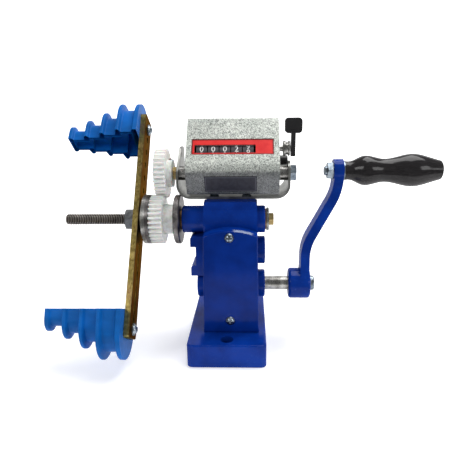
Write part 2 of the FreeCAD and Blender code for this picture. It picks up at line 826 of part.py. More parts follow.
def crank_path():
    """The S-shaped middle line of the crank arm in X and Z, from the boss to the head."""
    foot = Vector(crank_arm_foot_x, 0, crank_height)
    head = Vector(crank_head_x, 0, crank_height + crank_radius)
    offset = crank_head_x - crank_arm_foot_x
    low = crank_height + crank_bend_height
    high = head.z - crank_head_straight
    rise = high - low
    radius = crank_bend_radius
    bend = 2 * math.atan2(offset, rise + math.sqrt(max(rise ** 2 + offset ** 2 - 4 * radius * offset, 0)))
    start = Vector(foot.x, 0, low)
    first_end = start + Vector(radius * (1 - math.cos(bend)), 0, radius * math.sin(bend))
    first_middle = start + Vector(radius * (1 - math.cos(bend / 2)), 0, radius * math.sin(bend / 2))
    stop = Vector(head.x, 0, high)
    second_start = stop - Vector(radius * (1 - math.cos(bend)), 0, radius * math.sin(bend))
    second_middle = stop - Vector(radius * (1 - math.cos(bend / 2)), 0, radius * math.sin(bend / 2))
    edges = [
        Part.makeLine(foot, start),
        Part.Arc(start, first_middle, first_end).toShape(),
        Part.makeLine(first_end, second_start),
        Part.Arc(second_start, second_middle, stop).toShape(),
        Part.makeLine(stop, head + Vector(0, 0, crank_head_radius)),
    ]
    return Part.Wire(edges)


def crank_arm():
    """The cast S-shaped arm with its boss and head."""
    half = crank_arm_thickness / 2
    wide = crank_boss_radius
    corners = [
        Vector(crank_arm_foot_x - half, -wide, crank_height),
        Vector(crank_arm_foot_x + half, -wide, crank_height),
        Vector(crank_arm_foot_x + half, wide, crank_height),
        Vector(crank_arm_foot_x - half, wide, crank_height),
    ]
    section = Part.makePolygon(corners + corners[:1])
    band = crank_path().makePipeShell([section], True, False)
    waist = crank_arm_waist / 2
    head_z = crank_height + crank_radius
    neck_z = head_z - crank_head_radius - crank_arm_head_run
    lower = crank_height + crank_boss_radius
    side = [
        Vector(0, -crank_boss_radius, crank_height),
        Vector(0, -waist - crank_arm_foot_flare, lower),
        Vector(0, -waist, lower + crank_arm_foot_run),
        Vector(0, -waist + crank_arm_taper, neck_z),
        Vector(0, -crank_head_radius, head_z),
        Vector(0, crank_head_radius, head_z),
        Vector(0, waist - crank_arm_taper, neck_z),
        Vector(0, waist, lower + crank_arm_foot_run),
        Vector(0, waist + crank_arm_foot_flare, lower),
        Vector(0, crank_boss_radius, crank_height),
    ]
    outline = Part.Face(Part.makePolygon(side + side[:1])).extrude(Vector(deep, 0, 0))
    head_disc = rod_x(0, deep, crank_head_radius, 0, head_z)
    arm = band.common(outline.fuse(head_disc))
    hub = rod_x(crank_boss_left, crank_boss_right, crank_boss_radius, 0, crank_height)
    hub = hub.makeFillet(crank_boss_edge, [e for e in hub.Edges if e.BoundBox.XLength < edge_find])
    arm = arm.fuse(hub)
    arm = arm.cut(rod_x(0, deep, crank_shaft_diameter / 2, 0, crank_height))
    arm = arm.cut(rod_x(0, deep, handle_bolt_diameter / 2, 0, head_z))
    return arm.removeSplitter()


def crank_nut():
    """The turned stud nut on the end of the crank shaft."""
    right = crank_boss_right + crank_nut_height
    edge = crank_nut_edge
    profile = [(crank_boss_right, 0), (crank_boss_right, crank_nut_radius), (right - edge, crank_nut_radius),
               (right, crank_nut_radius - edge), (right, 0)]
    return turned_x(profile, 0, crank_height)


def handle_left():
    """Where the handle's ferrule starts, past the crank head and its washer."""
    return crank_head_x + crank_arm_thickness / 2 + washer_thickness + face_gap


def handle_grip():
    """The turned wooden grip, bored for its bolt."""
    left = handle_left()
    z = crank_height + crank_radius
    start = Vector(left, 0, z + handle_ferrule_radius)
    points = [start + Vector(handle_ferrule_length, 0, 0)]
    points += [Vector(left + along, 0, z + radius) for along, radius in handle_profile]
    curve = Part.BSplineCurve()
    curve.interpolate(points)
    end = Vector(left + handle_length, 0, z + handle_profile[-1][1] - handle_end_round)
    tip_middle = Vector(left + handle_length - handle_end_bulge, 0,
                        z + handle_profile[-1][1] - handle_end_bulge)
    edges = [
        Part.makeLine(Vector(left, 0, z), start),
        Part.makeLine(start, points[0]),
        curve.toShape(),
        Part.Arc(points[-1], tip_middle, end).toShape(),
        Part.makeLine(end, Vector(left + handle_length, 0, z)),
        Part.makeLine(Vector(left + handle_length, 0, z), Vector(left, 0, z)),
    ]
    grip = Part.Face(Part.Wire(edges)).revolve(Vector(0, 0, z), X_AXIS, 360)
    bore = rod_x(left, left + handle_length, handle_bolt_diameter / 2 + running_fit, 0, z)
    sink_left = left + handle_length - handle_bolt_head_inset - handle_bolt_head_height - face_gap
    sink = rod_x(sink_left, left + handle_length, handle_bolt_head_radius + loose_fit, 0, z)
    return grip.cut(bore).cut(sink)


def handle_bolt():
    """The shoulder bolt that the grip turns on, its slotted head sunk in the grip's end."""
    z = crank_height + crank_radius
    right = handle_left() + handle_length - handle_bolt_head_inset
    left = crank_head_x - crank_arm_thickness / 2 - handle_nut_height - handle_bolt_tail
    shank = rod_x(left, right - handle_bolt_head_height, handle_bolt_diameter / 2, 0, z)
    tail_edges = [e for e in shank.Edges if e.BoundBox.XMax < left + edge_find]
    shank = shank.makeChamfer(handle_bolt_chamfer, tail_edges)
    head = rod_x(right - handle_bolt_head_height, right, handle_bolt_head_radius, 0, z)
    half_slot = handle_bolt_slot_width / 2
    slot = box(right - handle_bolt_slot_depth, right, -handle_bolt_head_radius, handle_bolt_head_radius,
               z - half_slot, z + half_slot)
    return shank.fuse(head).cut(slot)


def handle_nut():
    """The hexagon nut behind the crank head."""
    right = crank_head_x - crank_arm_thickness / 2
    z = crank_height + crank_radius
    nut = hexagon_x(right - handle_nut_height, right, handle_nut_across_flats, 0, z, 12)
    return nut.cut(rod_x(right - handle_nut_height, right, handle_bolt_diameter / 2, 0, z))


def handle_washer():
    """The washer between crank head and grip."""
    left = crank_head_x + crank_arm_thickness / 2
    return ring_x(left, left + washer_thickness, handle_ferrule_radius, handle_bolt_diameter / 2, 0,
                  crank_height + crank_radius)


def bracket_screw_places():
    """The X places of the two screws that hold the bracket."""
    half = bracket_screw_spacing / 2
    return (bracket_screw_middle_x - half, bracket_screw_middle_x + half)


def bracket_screw_y():
    """How far back the bracket screws stand."""
    return bracket_front + bracket_screw_back


def counter_bracket():
    """The bent sheet bracket: a foot plate and two ears."""
    back = bracket_front + bracket_depth
    outer = bracket_bend_radius
    inner = bracket_bend_radius - bracket_sheet

    def trough(left, right, foot, radius):
        corners = [
            Vector(left, 0, left_ear_top),
            Vector(left, 0, foot + radius),
            Vector(left + radius, 0, foot),
            Vector(right - radius, 0, foot),
            Vector(right, 0, foot + radius),
            Vector(right, 0, left_ear_top),
        ]
        bend = radius * (1 - math.sqrt(0.5))
        edges = [
            Part.makeLine(corners[0], corners[1]),
            Part.Arc(corners[1], Vector(left + bend, 0, foot + bend), corners[2]).toShape(),
            Part.makeLine(corners[2], corners[3]),
            Part.Arc(corners[3], Vector(right - bend, 0, foot + bend), corners[4]).toShape(),
            Part.makeLine(corners[4], corners[5]),
            Part.makeLine(corners[5], corners[0]),
        ]
        return Part.Face(Part.Wire(edges)).extrude(Vector(0, bracket_depth, 0))

    bent = trough(bracket_left, bracket_right, bracket_foot, outer)
    bent = bent.cut(trough(bracket_left + bracket_sheet, bracket_right - bracket_sheet, bracket_top, inner))
    bent.translate(Vector(0, bracket_front, 0))
    slope_foot = bracket_foot + left_ear_front_height
    left_outline = [(bracket_front, bracket_foot), (back, bracket_foot), (back, left_ear_top),
                    (bracket_front + left_ear_slope_back, left_ear_top), (bracket_front, slope_foot)]
    left_corners = [left_ear_foot_corner, left_ear_foot_corner, left_ear_back_corner, left_ear_back_corner,
                    left_ear_front_corner]
    left_shape = slab_x(left_outline, left_corners, bracket_left - run_in, bracket_left + outer)
    middle = box(bracket_left + outer, bracket_right - outer, bracket_front, back, bracket_foot, bracket_top)
    right_low = box(bracket_right - outer, bracket_right + run_in, bracket_front, back, bracket_foot,
                    bracket_foot + outer)
    right_ear = rod_x(bracket_right - outer, bracket_right + run_in, right_ear_radius, counter_y,
                      counter_height)
    right_neck = box(bracket_right - outer, bracket_right + run_in, counter_y - right_ear_radius,
                     counter_y + right_ear_radius, bracket_foot, counter_height)
    shape = bent.common(left_shape.fuse(middle).fuse(right_low).fuse(right_neck).fuse(right_ear))
    shape = shape.cut(rod_x(bracket_left - run_in, bracket_left + outer, sleeve_diameter / 2,
                            counter_y, counter_height))
    shape = shape.cut(rod_x(bracket_left - run_in, bracket_left + outer, ear_hole_diameter / 2,
                            ear_hole_back, ear_hole_height))
    shape = shape.cut(rod_x(bracket_right - outer, bracket_right + run_in, pivot_bolt_diameter / 2,
                            counter_y, counter_height))
    for x in bracket_screw_places():
        shape = shape.cut(rod_z(bracket_foot, bracket_top, bracket_screw_diameter / 2, x, bracket_screw_y()))
    return shape.removeSplitter()


def bracket_screws():
    """Two pan-head screws down through the bracket's foot."""
    depth = bracket_sheet + bracket_screw_depth - screw_end_gap
    screws = []
    for x in bracket_screw_places():
        screws.append(pan_head(Vector(x, bracket_screw_y(), bracket_top), Vector(0, 0, -1),
                               bracket_screw_head_radius, bracket_screw_head_height,
                               bracket_screw_diameter / 2, depth))
    return Part.makeCompound(screws)


def case_directions():
    """Unit vectors up the window face and out of it."""
    up = (Vector(0, *case_top) - Vector(0, *case_bend)).normalize()
    out = Vector(0, -up.z, up.y)
    return up, out


def lower_directions():
    """Unit vectors up the lower front face and out of it."""
    up = (Vector(0, *case_bend) - Vector(0, *case_foot_front)).normalize()
    out = Vector(0, -up.z, up.y)
    return up, out


def case_outline(inset):
    """Corners and radii of the counter case's side outline, moved in by an inset."""
    out = case_directions()[1]
    back_top = Vector(0, *case_top) - out * case_depth
    points = [case_foot_front, (case_foot_back_y, case_foot_front[1]), (back_top.y, back_top.z), case_top,
              case_bend]
    radii = [case_corner_radius, case_corner_radius, case_corner_radius, case_corner_radius, case_bend_radius]
    face = plate_face(points, radii)
    if inset:
        wire = face.OuterWire.makeOffset2D(-inset)
        face = Part.Face(wire)
    return face


def on_face(origin, up, out, x, along, height, width, start, thickness):
    """A flat block lying on a tilted face: width in X, height up the face, from start outwards."""
    block = Part.makeBox(width, height, thickness, Vector(-width / 2, -height / 2, 0))
    side = up.cross(out)
    matrix = FreeCAD.Matrix(side.x, up.x, out.x, 0, side.y, up.y, out.y, 0, side.z, up.z, out.z, 0,
                            0, 0, 0, 1)
    block = block.transformGeometry(matrix)
    place = origin + up * along + out * start
    block.translate(Vector(x, place.y, place.z))
    return block


def counter_shell():
    """The hammered sheet case wrapped round the counter, open at its window."""
    outer = case_outline(0.0).extrude(Vector(case_right - case_left - 2 * end_plate_thickness, 0, 0))
    inner = case_outline(case_wall).extrude(Vector(case_right - case_left, 0, 0))
    outer.translate(Vector(case_left + end_plate_thickness, 0, 0))
    inner.translate(Vector(case_left, 0, 0))
    shell = outer.cut(inner)
    up, out = case_directions()
    bend = Vector(0, *case_bend)
    pocket = on_face(bend, up, out, plate_middle_x, plate_up, plate_height + 2 * plate_gap,
                     plate_width + 2 * plate_gap, -plate_recess - plate_thickness, case_wall)
    window = on_face(bend, up, out, window_middle_x, window_up, window_height, window_width,
                     -2 * case_wall, 3 * case_wall)
    ledge = on_face(bend, up, out, plate_middle_x, plate_up, plate_height + 2 * ledge_width,
                    plate_width + 2 * ledge_width, -plate_recess - plate_thickness - ledge_thickness,
                    ledge_thickness + plate_recess)
    return shell.fuse(ledge).cut(pocket).cut(window).removeSplitter()


def end_plate(left):
    """One end plate of the counter case; left is its lower X."""
    plate = case_outline(0.0).extrude(Vector(end_plate_thickness, 0, 0))
    plate.translate(Vector(left, 0, 0))
    return plate


def wheel_centre():
    """Where the digit wheels' axle lies behind the window."""
    up, out = case_directions()
    place = Vector(0, *case_bend) + up * window_up - out * wheel_set_back
    return place.y, place.z


def left_end_plate():
    """The left end plate with the hole for the drive sleeve."""
    y, z = wheel_centre()
    plate = end_plate(case_left)
    plate = plate.cut(rod_x(case_left, 0, sleeve_diameter / 2, counter_y, counter_height))
    return plate.cut(rod_x(case_left, 0, wheel_axle_diameter / 2, y, z))


def right_end_plate():
    """The right end plate with holes for the pivot bolt, the zeroing shaft and the stud."""
    y, z = wheel_centre()
    left = case_right - end_plate_thickness
    plate = end_plate(left)
    plate = plate.cut(rod_x(left, case_right, pivot_bolt_diameter / 2, counter_y, counter_height))
    plate = plate.cut(rod_x(left, case_right, reset_shaft_diameter / 2 + running_fit, reset_y, reset_height))
    return plate.cut(rod_x(left, case_right, wheel_axle_diameter / 2, y, z))


def red_plate():
    """The red plate round the digit window."""
    up, out = case_directions()
    bend = Vector(0, *case_bend)
    start = -plate_recess - plate_thickness
    plate = on_face(bend, up, out, plate_middle_x, plate_up, plate_height, plate_width, start,
                    plate_thickness)
    return plate.cut(on_face(bend, up, out, window_middle_x, window_up, window_height, window_width,
                             2 * start, 4 * plate_thickness))


def name_plate():
    """The dark plate on the lower front face, left blank."""
    up, out = lower_directions()
    return on_face(Vector(0, *case_bend), up, out, name_plate_middle_x, name_plate_up, name_plate_height,
                   name_plate_width, 0.0, plate_thickness / 2)


def wheel_axle():
    """The fixed axle under the digit wheels, held in both end plates."""
    y, z = wheel_centre()
    return rod_x(case_left + wheel_axle_inset, case_right - wheel_axle_inset, wheel_axle_diameter / 2, y, z)


def digit_wheel(index):
    """One digit wheel: rim, thin web and hub."""
    y, z = wheel_centre()
    middle = wheel_first_x + index * wheel_pitch
    left = middle - wheel_width / 2
    right = middle + wheel_width / 2
    bore = wheel_axle_diameter / 2 + running_fit
    rim = ring_x(left, right, wheel_radius, wheel_radius - wheel_rim, y, z)
    web = ring_x(middle - wheel_web / 2, middle + wheel_web / 2, wheel_radius - wheel_rim, bore, y, z)
    hub = ring_x(left, right, wheel_hub_radius, bore, y, z)
    return rim.fuse(web).fuse(hub).removeSplitter()


def drive_sleeve():
    """The threaded sleeve that clamps the counter's left side to the bracket ear."""
    left = bracket_left - brass_nut_height
    right = case_left + end_plate_thickness + sleeve_inner_reach
    return ring_x(left, right, sleeve_diameter / 2, counter_shaft_diameter / 2 + running_fit,
                  counter_y, counter_height)


def brass_nut():
    """The brass hexagon nut outside the left ear."""
    nut = hexagon_x(bracket_left - brass_nut_height, bracket_left, brass_nut_across_flats, counter_y,
                    counter_height, 20)
    return nut.cut(rod_x(bracket_left - brass_nut_height, bracket_left, sleeve_diameter / 2,
                         counter_y, counter_height))


def pivot_spacers():
    """The plain spacers between the counter's sides and the bracket ears."""
    left = ring_x(bracket_left + bracket_sheet, case_left, sleeve_diameter / 2 + sleeve_spacer_wall,
                  sleeve_diameter / 2, counter_y, counter_height)
    right = ring_x(case_right, bracket_right - bracket_sheet, pivot_bolt_diameter / 2 + pivot_spacer_wall,
                   pivot_bolt_diameter / 2, counter_y, counter_height)
    return Part.makeCompound([left, right])


def pivot_bolt():
    """The zinc hexagon bolt through the right ear."""
    head = hexagon_x(bracket_right, bracket_right + pivot_bolt_head, pivot_bolt_across_flats, counter_y,
                     counter_height, 5)
    left = case_right - end_plate_thickness - pivot_bolt_inner_reach
    shank = rod_x(left, bracket_right, pivot_bolt_diameter / 2, counter_y, counter_height)
    return head.fuse(shank).removeSplitter()


def counter_shaft():
    """The counter's drive shaft with the drum that drives the first digit wheel."""
    left = bracket_left - brass_nut_height - counter_hub_length - counter_rim_width - face_gap
    right = wheel_first_x + wheel_count * wheel_pitch
    shaft = rod_x(left, right, counter_shaft_diameter / 2, counter_y, counter_height)
    drum = rod_x(right - drive_drum_width, right, drive_drum_radius, counter_y, counter_height)
    return shaft.fuse(drum).removeSplitter()


def counter_gear_left():
    """The left face of the upper white gear."""
    return bracket_left - brass_nut_height - face_gap - counter_hub_length - counter_rim_width


def set_screw_place():
    """X place, foot height and top height of the grub screw."""
    x = bracket_left - brass_nut_height - face_gap - counter_hub_length / 2
    foot = counter_height + counter_shaft_diameter / 2
    return x, foot, counter_height + counter_hub_radius + set_screw_stand_out


def counter_gear():
    """The upper white gear on the counter's drive shaft."""
    toward_spindle = 180 + counter_gear_lean
    tooth_angle = toward_spindle + 180 / counter_gear_teeth
    gear = white_gear(counter_gear_left(), counter_rim_width, counter_hub_length, counter_hub_radius,
                      counter_y, counter_height, counter_shaft_diameter / 2, tooth_angle)
    x, _, top = set_screw_place()
    return gear.cut(rod_z(counter_height, top, set_screw_diameter / 2, x, counter_y))


def counter_set_screw():
    """The grub screw in the upper white gear's hub."""
    x, foot, top = set_screw_place()
    screw = rod_z(foot, top, set_screw_diameter / 2, x, counter_y)
    socket = rod_z(top - set_screw_socket_depth, top, set_screw_diameter / 4, x, counter_y)
    return screw.cut(socket)


def reset_shaft():
    """The short shaft that the zeroing lever turns."""
    inner = rod_x(reset_shaft_inner_x, lever_right - reset_shaft_end_inset, reset_shaft_diameter / 2,
                  reset_y, reset_height)
    stop = rod_x(reset_shaft_inner_x, reset_shaft_inner_x + reset_stop_length,
                 reset_shaft_diameter / 2 + reset_stop_wall, reset_y, reset_height)
    return inner.fuse(stop).removeSplitter()


def reset_collar():
    """The grey collar on the zeroing shaft."""
    edge = reset_collar_edge
    r = reset_collar_radius
    bore = reset_shaft_diameter / 2
    waist = r - reset_groove_depth
    groove_left = reset_collar_left + reset_groove_left_land
    groove_right = reset_collar_right - reset_groove_right_land
    profile = [(reset_collar_left, bore), (reset_collar_left, r - edge), (reset_collar_left + edge, r),
               (groove_left, r), (groove_left + reset_groove_slope, waist),
               (groove_right - reset_groove_slope, waist), (groove_right, r), (reset_collar_right - edge, r),
               (reset_collar_right, r - edge), (reset_collar_right, bore)]
    return turned_x(profile, reset_y, reset_height)


def reset_lever():
    """The black lever with its broad rounded paddle."""
    half = lever_width / 2
    stem = box(lever_left, lever_right, reset_y - half, reset_y + half, reset_height - lever_foot,
               reset_height + lever_paddle_foot + lever_stem_run_in)
    half_thick = lever_paddle_thickness / 2
    paddle = box(lever_paddle_left, lever_paddle_right, reset_y - half_thick, reset_y + half_thick,
                 reset_height + lever_paddle_foot, reset_height + lever_paddle_top)
    corners = [e for e in paddle.Edges if e.BoundBox.YLength > lever_paddle_thickness - edge_find]
    paddle = paddle.makeFillet(lever_paddle_corner, corners)
    lever = stem.fuse(paddle).removeSplitter()
    return lever.cut(rod_x(lever_left, lever_right, reset_shaft_diameter / 2, reset_y, reset_height))


def stop_stud():
    """The black rubber-sleeved stud on the counter's side."""
    distance = right_ear_radius + stud_gap + stud_radius
    angle = math.radians(stud_angle)
    stud_y = counter_y + distance * math.sin(angle)
    stud_z = counter_height + distance * math.cos(angle)
    stud = rod_x(case_right, case_right + stud_length, stud_radius, stud_y, stud_z)
    rim = [e for e in stud.Edges if e.BoundBox.XMin > case_right + stud_length - edge_find]
    return stud.makeFillet(stud_edge, rim)


def all_nodes():
    """Every node's name and shape."""
    nodes = {}
    nodes["cast_frame"] = cast_frame()
    nodes["front_cover"] = front_cover()
    nodes["cover_screws"] = cover_screws()
    nodes["spindle_bush_left"] = spindle_bush(tube_left, 1)
    nodes["spindle_bush_right"] = spindle_bush(tube_right, -1)
    nodes["crank_bush_left"] = crank_bush(left_boss_face, chamber_left)
    nodes["crank_bush_right"] = crank_bush(chamber_right, tube_right)
    nodes["idler_axle"] = idler_axle()

    spindle_bore = spindle_diameter / 2
    nodes["spindle_shaft"] = spindle_shaft()
    nodes["spindle_pinion"] = spur_gear(spindle_pinion_teeth, second_module,
                                        spindle_gear_left - pinion_overhang,
                                        spindle_gear_left + gear_face + pinion_overhang,
                                        0, spindle_height, spindle_bore, 180 + 180 / spindle_pinion_teeth)
    nodes["spindle_collar"] = spindle_collar()
    nodes["spindle_gear"] = white_gear(white_rim_left, white_rim_width, white_hub_length, white_hub_radius,
                                       0, spindle_height, spindle_bore, counter_gear_lean)
    nodes["flat_disc"] = flat_disc()
    nodes["dished_disc"] = dished_disc()
    nodes["arm_strip"] = arm_strip()
    nut = hexagon_x(nut_left, strip_left, nut_across_flats, 0, spindle_height, nut_turn)
    nodes["spindle_nut"] = nut.cut(rod_x(nut_left, strip_left, spindle_bore, 0, spindle_height))
    nodes["end_washer"] = end_washer()
    nodes["end_bolt"] = end_bolt()
    nodes["upper_form"] = on_strip(winding_form(strip_left), upper_screw_reach)
    nodes["upper_form_screw"] = on_strip(form_screw(strip_left), upper_screw_reach)
    lower_face = strip_left - face_gap
    nodes["lower_form"] = on_strip(winding_form(lower_face), lower_screw_reach, True)
    nodes["lower_form_screw"] = on_strip(form_screw(lower_face), lower_screw_reach, True)

    idler_bore = idler_axle_diameter / 2 + running_fit
    pinion_right = crank_gear_left + gear_face + pinion_overhang
    nodes["idler_gear"] = spur_gear(idler_gear_teeth, second_module, spindle_gear_left,
                                    spindle_gear_left + gear_face, 0, idler_height, idler_bore, 0)
    nodes["idler_pinion"] = spur_gear(idler_pinion_teeth, first_module, spindle_gear_left + gear_face,
                                      pinion_right, 0, idler_height, idler_bore,
                                      180 + 180 / idler_pinion_teeth)

    crank_bore = crank_shaft_diameter / 2
    nodes["crank_shaft"] = crank_shaft()
    nodes["crank_gear"] = spur_gear(crank_gear_teeth, first_module, crank_gear_left,
                                    crank_gear_left + gear_face, 0, crank_height, crank_bore, 0)
    nodes["crank_arm"] = crank_arm()
    nodes["crank_nut"] = crank_nut()
    nodes["handle_bolt"] = handle_bolt()
    nodes["handle_nut"] = handle_nut()
    nodes["handle_washer"] = handle_washer()
    nodes["handle_grip"] = handle_grip()

    nodes["counter_bracket"] = counter_bracket()
    nodes["bracket_screws"] = bracket_screws()
    nodes["counter_shell"] = counter_shell()
    nodes["counter_left_side"] = left_end_plate()
    nodes["counter_right_side"] = right_end_plate()
    nodes["red_plate"] = red_plate()
    nodes["name_plate"] = name_plate()
    nodes["wheel_axle"] = wheel_axle()
    for k in range(wheel_count):
        nodes["digit_wheel_%d" % (wheel_count - k)] = digit_wheel(k)
    nodes["drive_sleeve"] = drive_sleeve()
    nodes["brass_nut"] = brass_nut()
    nodes["pivot_spacers"] = pivot_spacers()
    nodes["pivot_bolt"] = pivot_bolt()
    nodes["counter_shaft"] = counter_shaft()
    nodes["counter_gear"] = counter_gear()
    nodes["counter_set_screw"] = counter_set_screw()
    nodes["reset_shaft"] = reset_shaft()
    nodes["reset_collar"] = reset_collar()
    nodes["reset_lever"] = reset_lever()
    nodes["stop_stud"] = stop_stud()
    return nodes


for name, shape in all_nodes().items():
    shape.exportStep("parts/%s.step" % name)
    print(name, len(shape.Solids), shape.isValid(), round(shape.Volume))
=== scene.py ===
"""Looks of a hand-cranked wire coil winding machine: materials, rounded pieces, lights and camera."""
import math

import bpy
import numpy as np
from mathutils import Matrix, Vector


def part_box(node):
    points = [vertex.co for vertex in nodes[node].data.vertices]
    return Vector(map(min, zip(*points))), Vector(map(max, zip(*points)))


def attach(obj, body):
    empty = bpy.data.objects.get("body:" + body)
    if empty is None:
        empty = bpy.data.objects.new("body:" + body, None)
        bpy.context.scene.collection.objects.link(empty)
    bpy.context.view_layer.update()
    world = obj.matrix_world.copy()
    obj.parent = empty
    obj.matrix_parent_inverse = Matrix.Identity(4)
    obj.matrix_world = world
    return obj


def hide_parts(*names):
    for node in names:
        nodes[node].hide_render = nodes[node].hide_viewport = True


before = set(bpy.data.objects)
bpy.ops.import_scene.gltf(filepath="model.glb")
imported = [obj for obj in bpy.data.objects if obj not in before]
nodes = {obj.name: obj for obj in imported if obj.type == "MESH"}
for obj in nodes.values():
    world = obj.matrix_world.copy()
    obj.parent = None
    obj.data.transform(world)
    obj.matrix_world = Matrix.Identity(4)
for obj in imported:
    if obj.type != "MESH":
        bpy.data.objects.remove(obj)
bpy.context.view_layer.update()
MM_PER_METRE = 1000.0
MM = 1 / MM_PER_METRE

# Places shared with the machine's solids, millimetres; pairs are Y and Z
SPINDLE_Z = 113.0
COUNTER_AXIS = (11.49, 151.31)
STRIP_LEAN = math.radians(34.5)
CASE_FOOT = (-4.0, 135.4)
CASE_BEND = (-14.5, 157.5)
CASE_TOP = (19.0, 198.0)
WHEEL_COUNT = 5

# The column's arch in X and Z: height = top - ARCH_DROP * (x - COLUMN_X) ** 2
COLUMN_X = 3.5
ARCH_DROP = 0.0095
CASTING_ARCH_TOP = 110.3
COVER_ARCH_TOP = 110.4

# The two plates on the counter: middle in X, middle up the face, half width and half height
RED_PLATE = (5.2, 22.8, 33.6, 6.9)
NAME_PLATE = (3.5, -13.6, 21.8, 7.5)

# The spindle's thread
THREAD_PITCH = 1.5
THREAD_DEPTH = 0.92
THREAD_RADIUS = 4.84
SHAFT_RADIUS = 5.0

# The stepped forms, as the machine's solids have them; crests and grooves count from the strip
FORM_CRESTS = (22.0, 22.0, 17.3, 13.2, 9.8)
FORM_GROOVES = (18.6, 14.4, 10.7, 7.6)
CREST_FIRST = 2.4
CREST_PITCH = 15.1
CREST_HALF = 1.7
CREST_FOOT = 3.1
FORM_LENGTH = CREST_FIRST + (len(FORM_CRESTS) - 1) * CREST_PITCH + CREST_HALF
END_WALL = 5.0
FORM_WALL = 2.8
SIDE_SHARE = 0.84
SCREW_RISE = 16.5
FORM_TURN = math.radians(8.0)
UPPER_SCREW_REACH = 88.2
LOWER_SCREW_REACH = 95.2
SLIDING_GAP = 0.1


def direction(start, end):
    """The unit vector from one pair to another."""
    length = math.dist(start, end)
    return (end[0] - start[0]) / length, (end[1] - start[1]) / length


FACE_UP = direction(CASE_BEND, CASE_TOP)
FACE_OUT = (-FACE_UP[1], FACE_UP[0])
LOWER_UP = direction(CASE_FOOT, CASE_BEND)


def box_mm(name):
    """A node's box corners in millimetres."""
    low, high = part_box(name)
    return tuple(v / MM for v in low), tuple(v / MM for v in high)


class Num:
    """A shader value that ordinary arithmetic works on; each operation adds a maths node."""

    def __init__(self, paint, socket):
        self.paint = paint
        self.socket = socket

    def _math(self, operation, first, second=None):
        """One maths node on one or two values."""
        node = self.paint.tree.nodes.new("ShaderNodeMath")
        node.operation = operation
        for slot, value in zip(node.inputs, (first, second)):
            if value is not None:
                self.paint.feed(slot, value)
        return Num(self.paint, node.outputs[0])

    def __add__(self, other):
        return self._math("ADD", self, other)

    def __radd__(self, other):
        return self._math("ADD", other, self)

    def __sub__(self, other):
        return self._math("SUBTRACT", self, other)

    def __rsub__(self, other):
        return self._math("SUBTRACT", other, self)

    def __mul__(self, other):
        return self._math("MULTIPLY", self, other)

    def size(self):
        """The value without its sign."""
        return self._math("ABSOLUTE", self)

    def wave(self):
        """The sine of the value."""
        return self._math("SINE", self)

    def root(self):
        """The square root."""
        return self._math("SQRT", self)

    def least(self, other):
        """The smaller of two values."""
        return self._math("MINIMUM", self, other)

    def ramp(self, low, high):
        """0 below low, 1 above high and a smooth rise between them; low above high turns it round."""
        node = self.paint.tree.nodes.new("ShaderNodeMapRange")
        node.interpolation_type = "SMOOTHSTEP"
        self.paint.feed(node.inputs["Value"], self)
        node.inputs["From Min"].default_value = min(low, high)
        node.inputs["From Max"].default_value = max(low, high)
        node.inputs["To Min"].default_value = 0.0 if low < high else 1.0
        node.inputs["To Max"].default_value = 1.0 if low < high else 0.0
        return Num(self.paint, node.outputs["Result"])


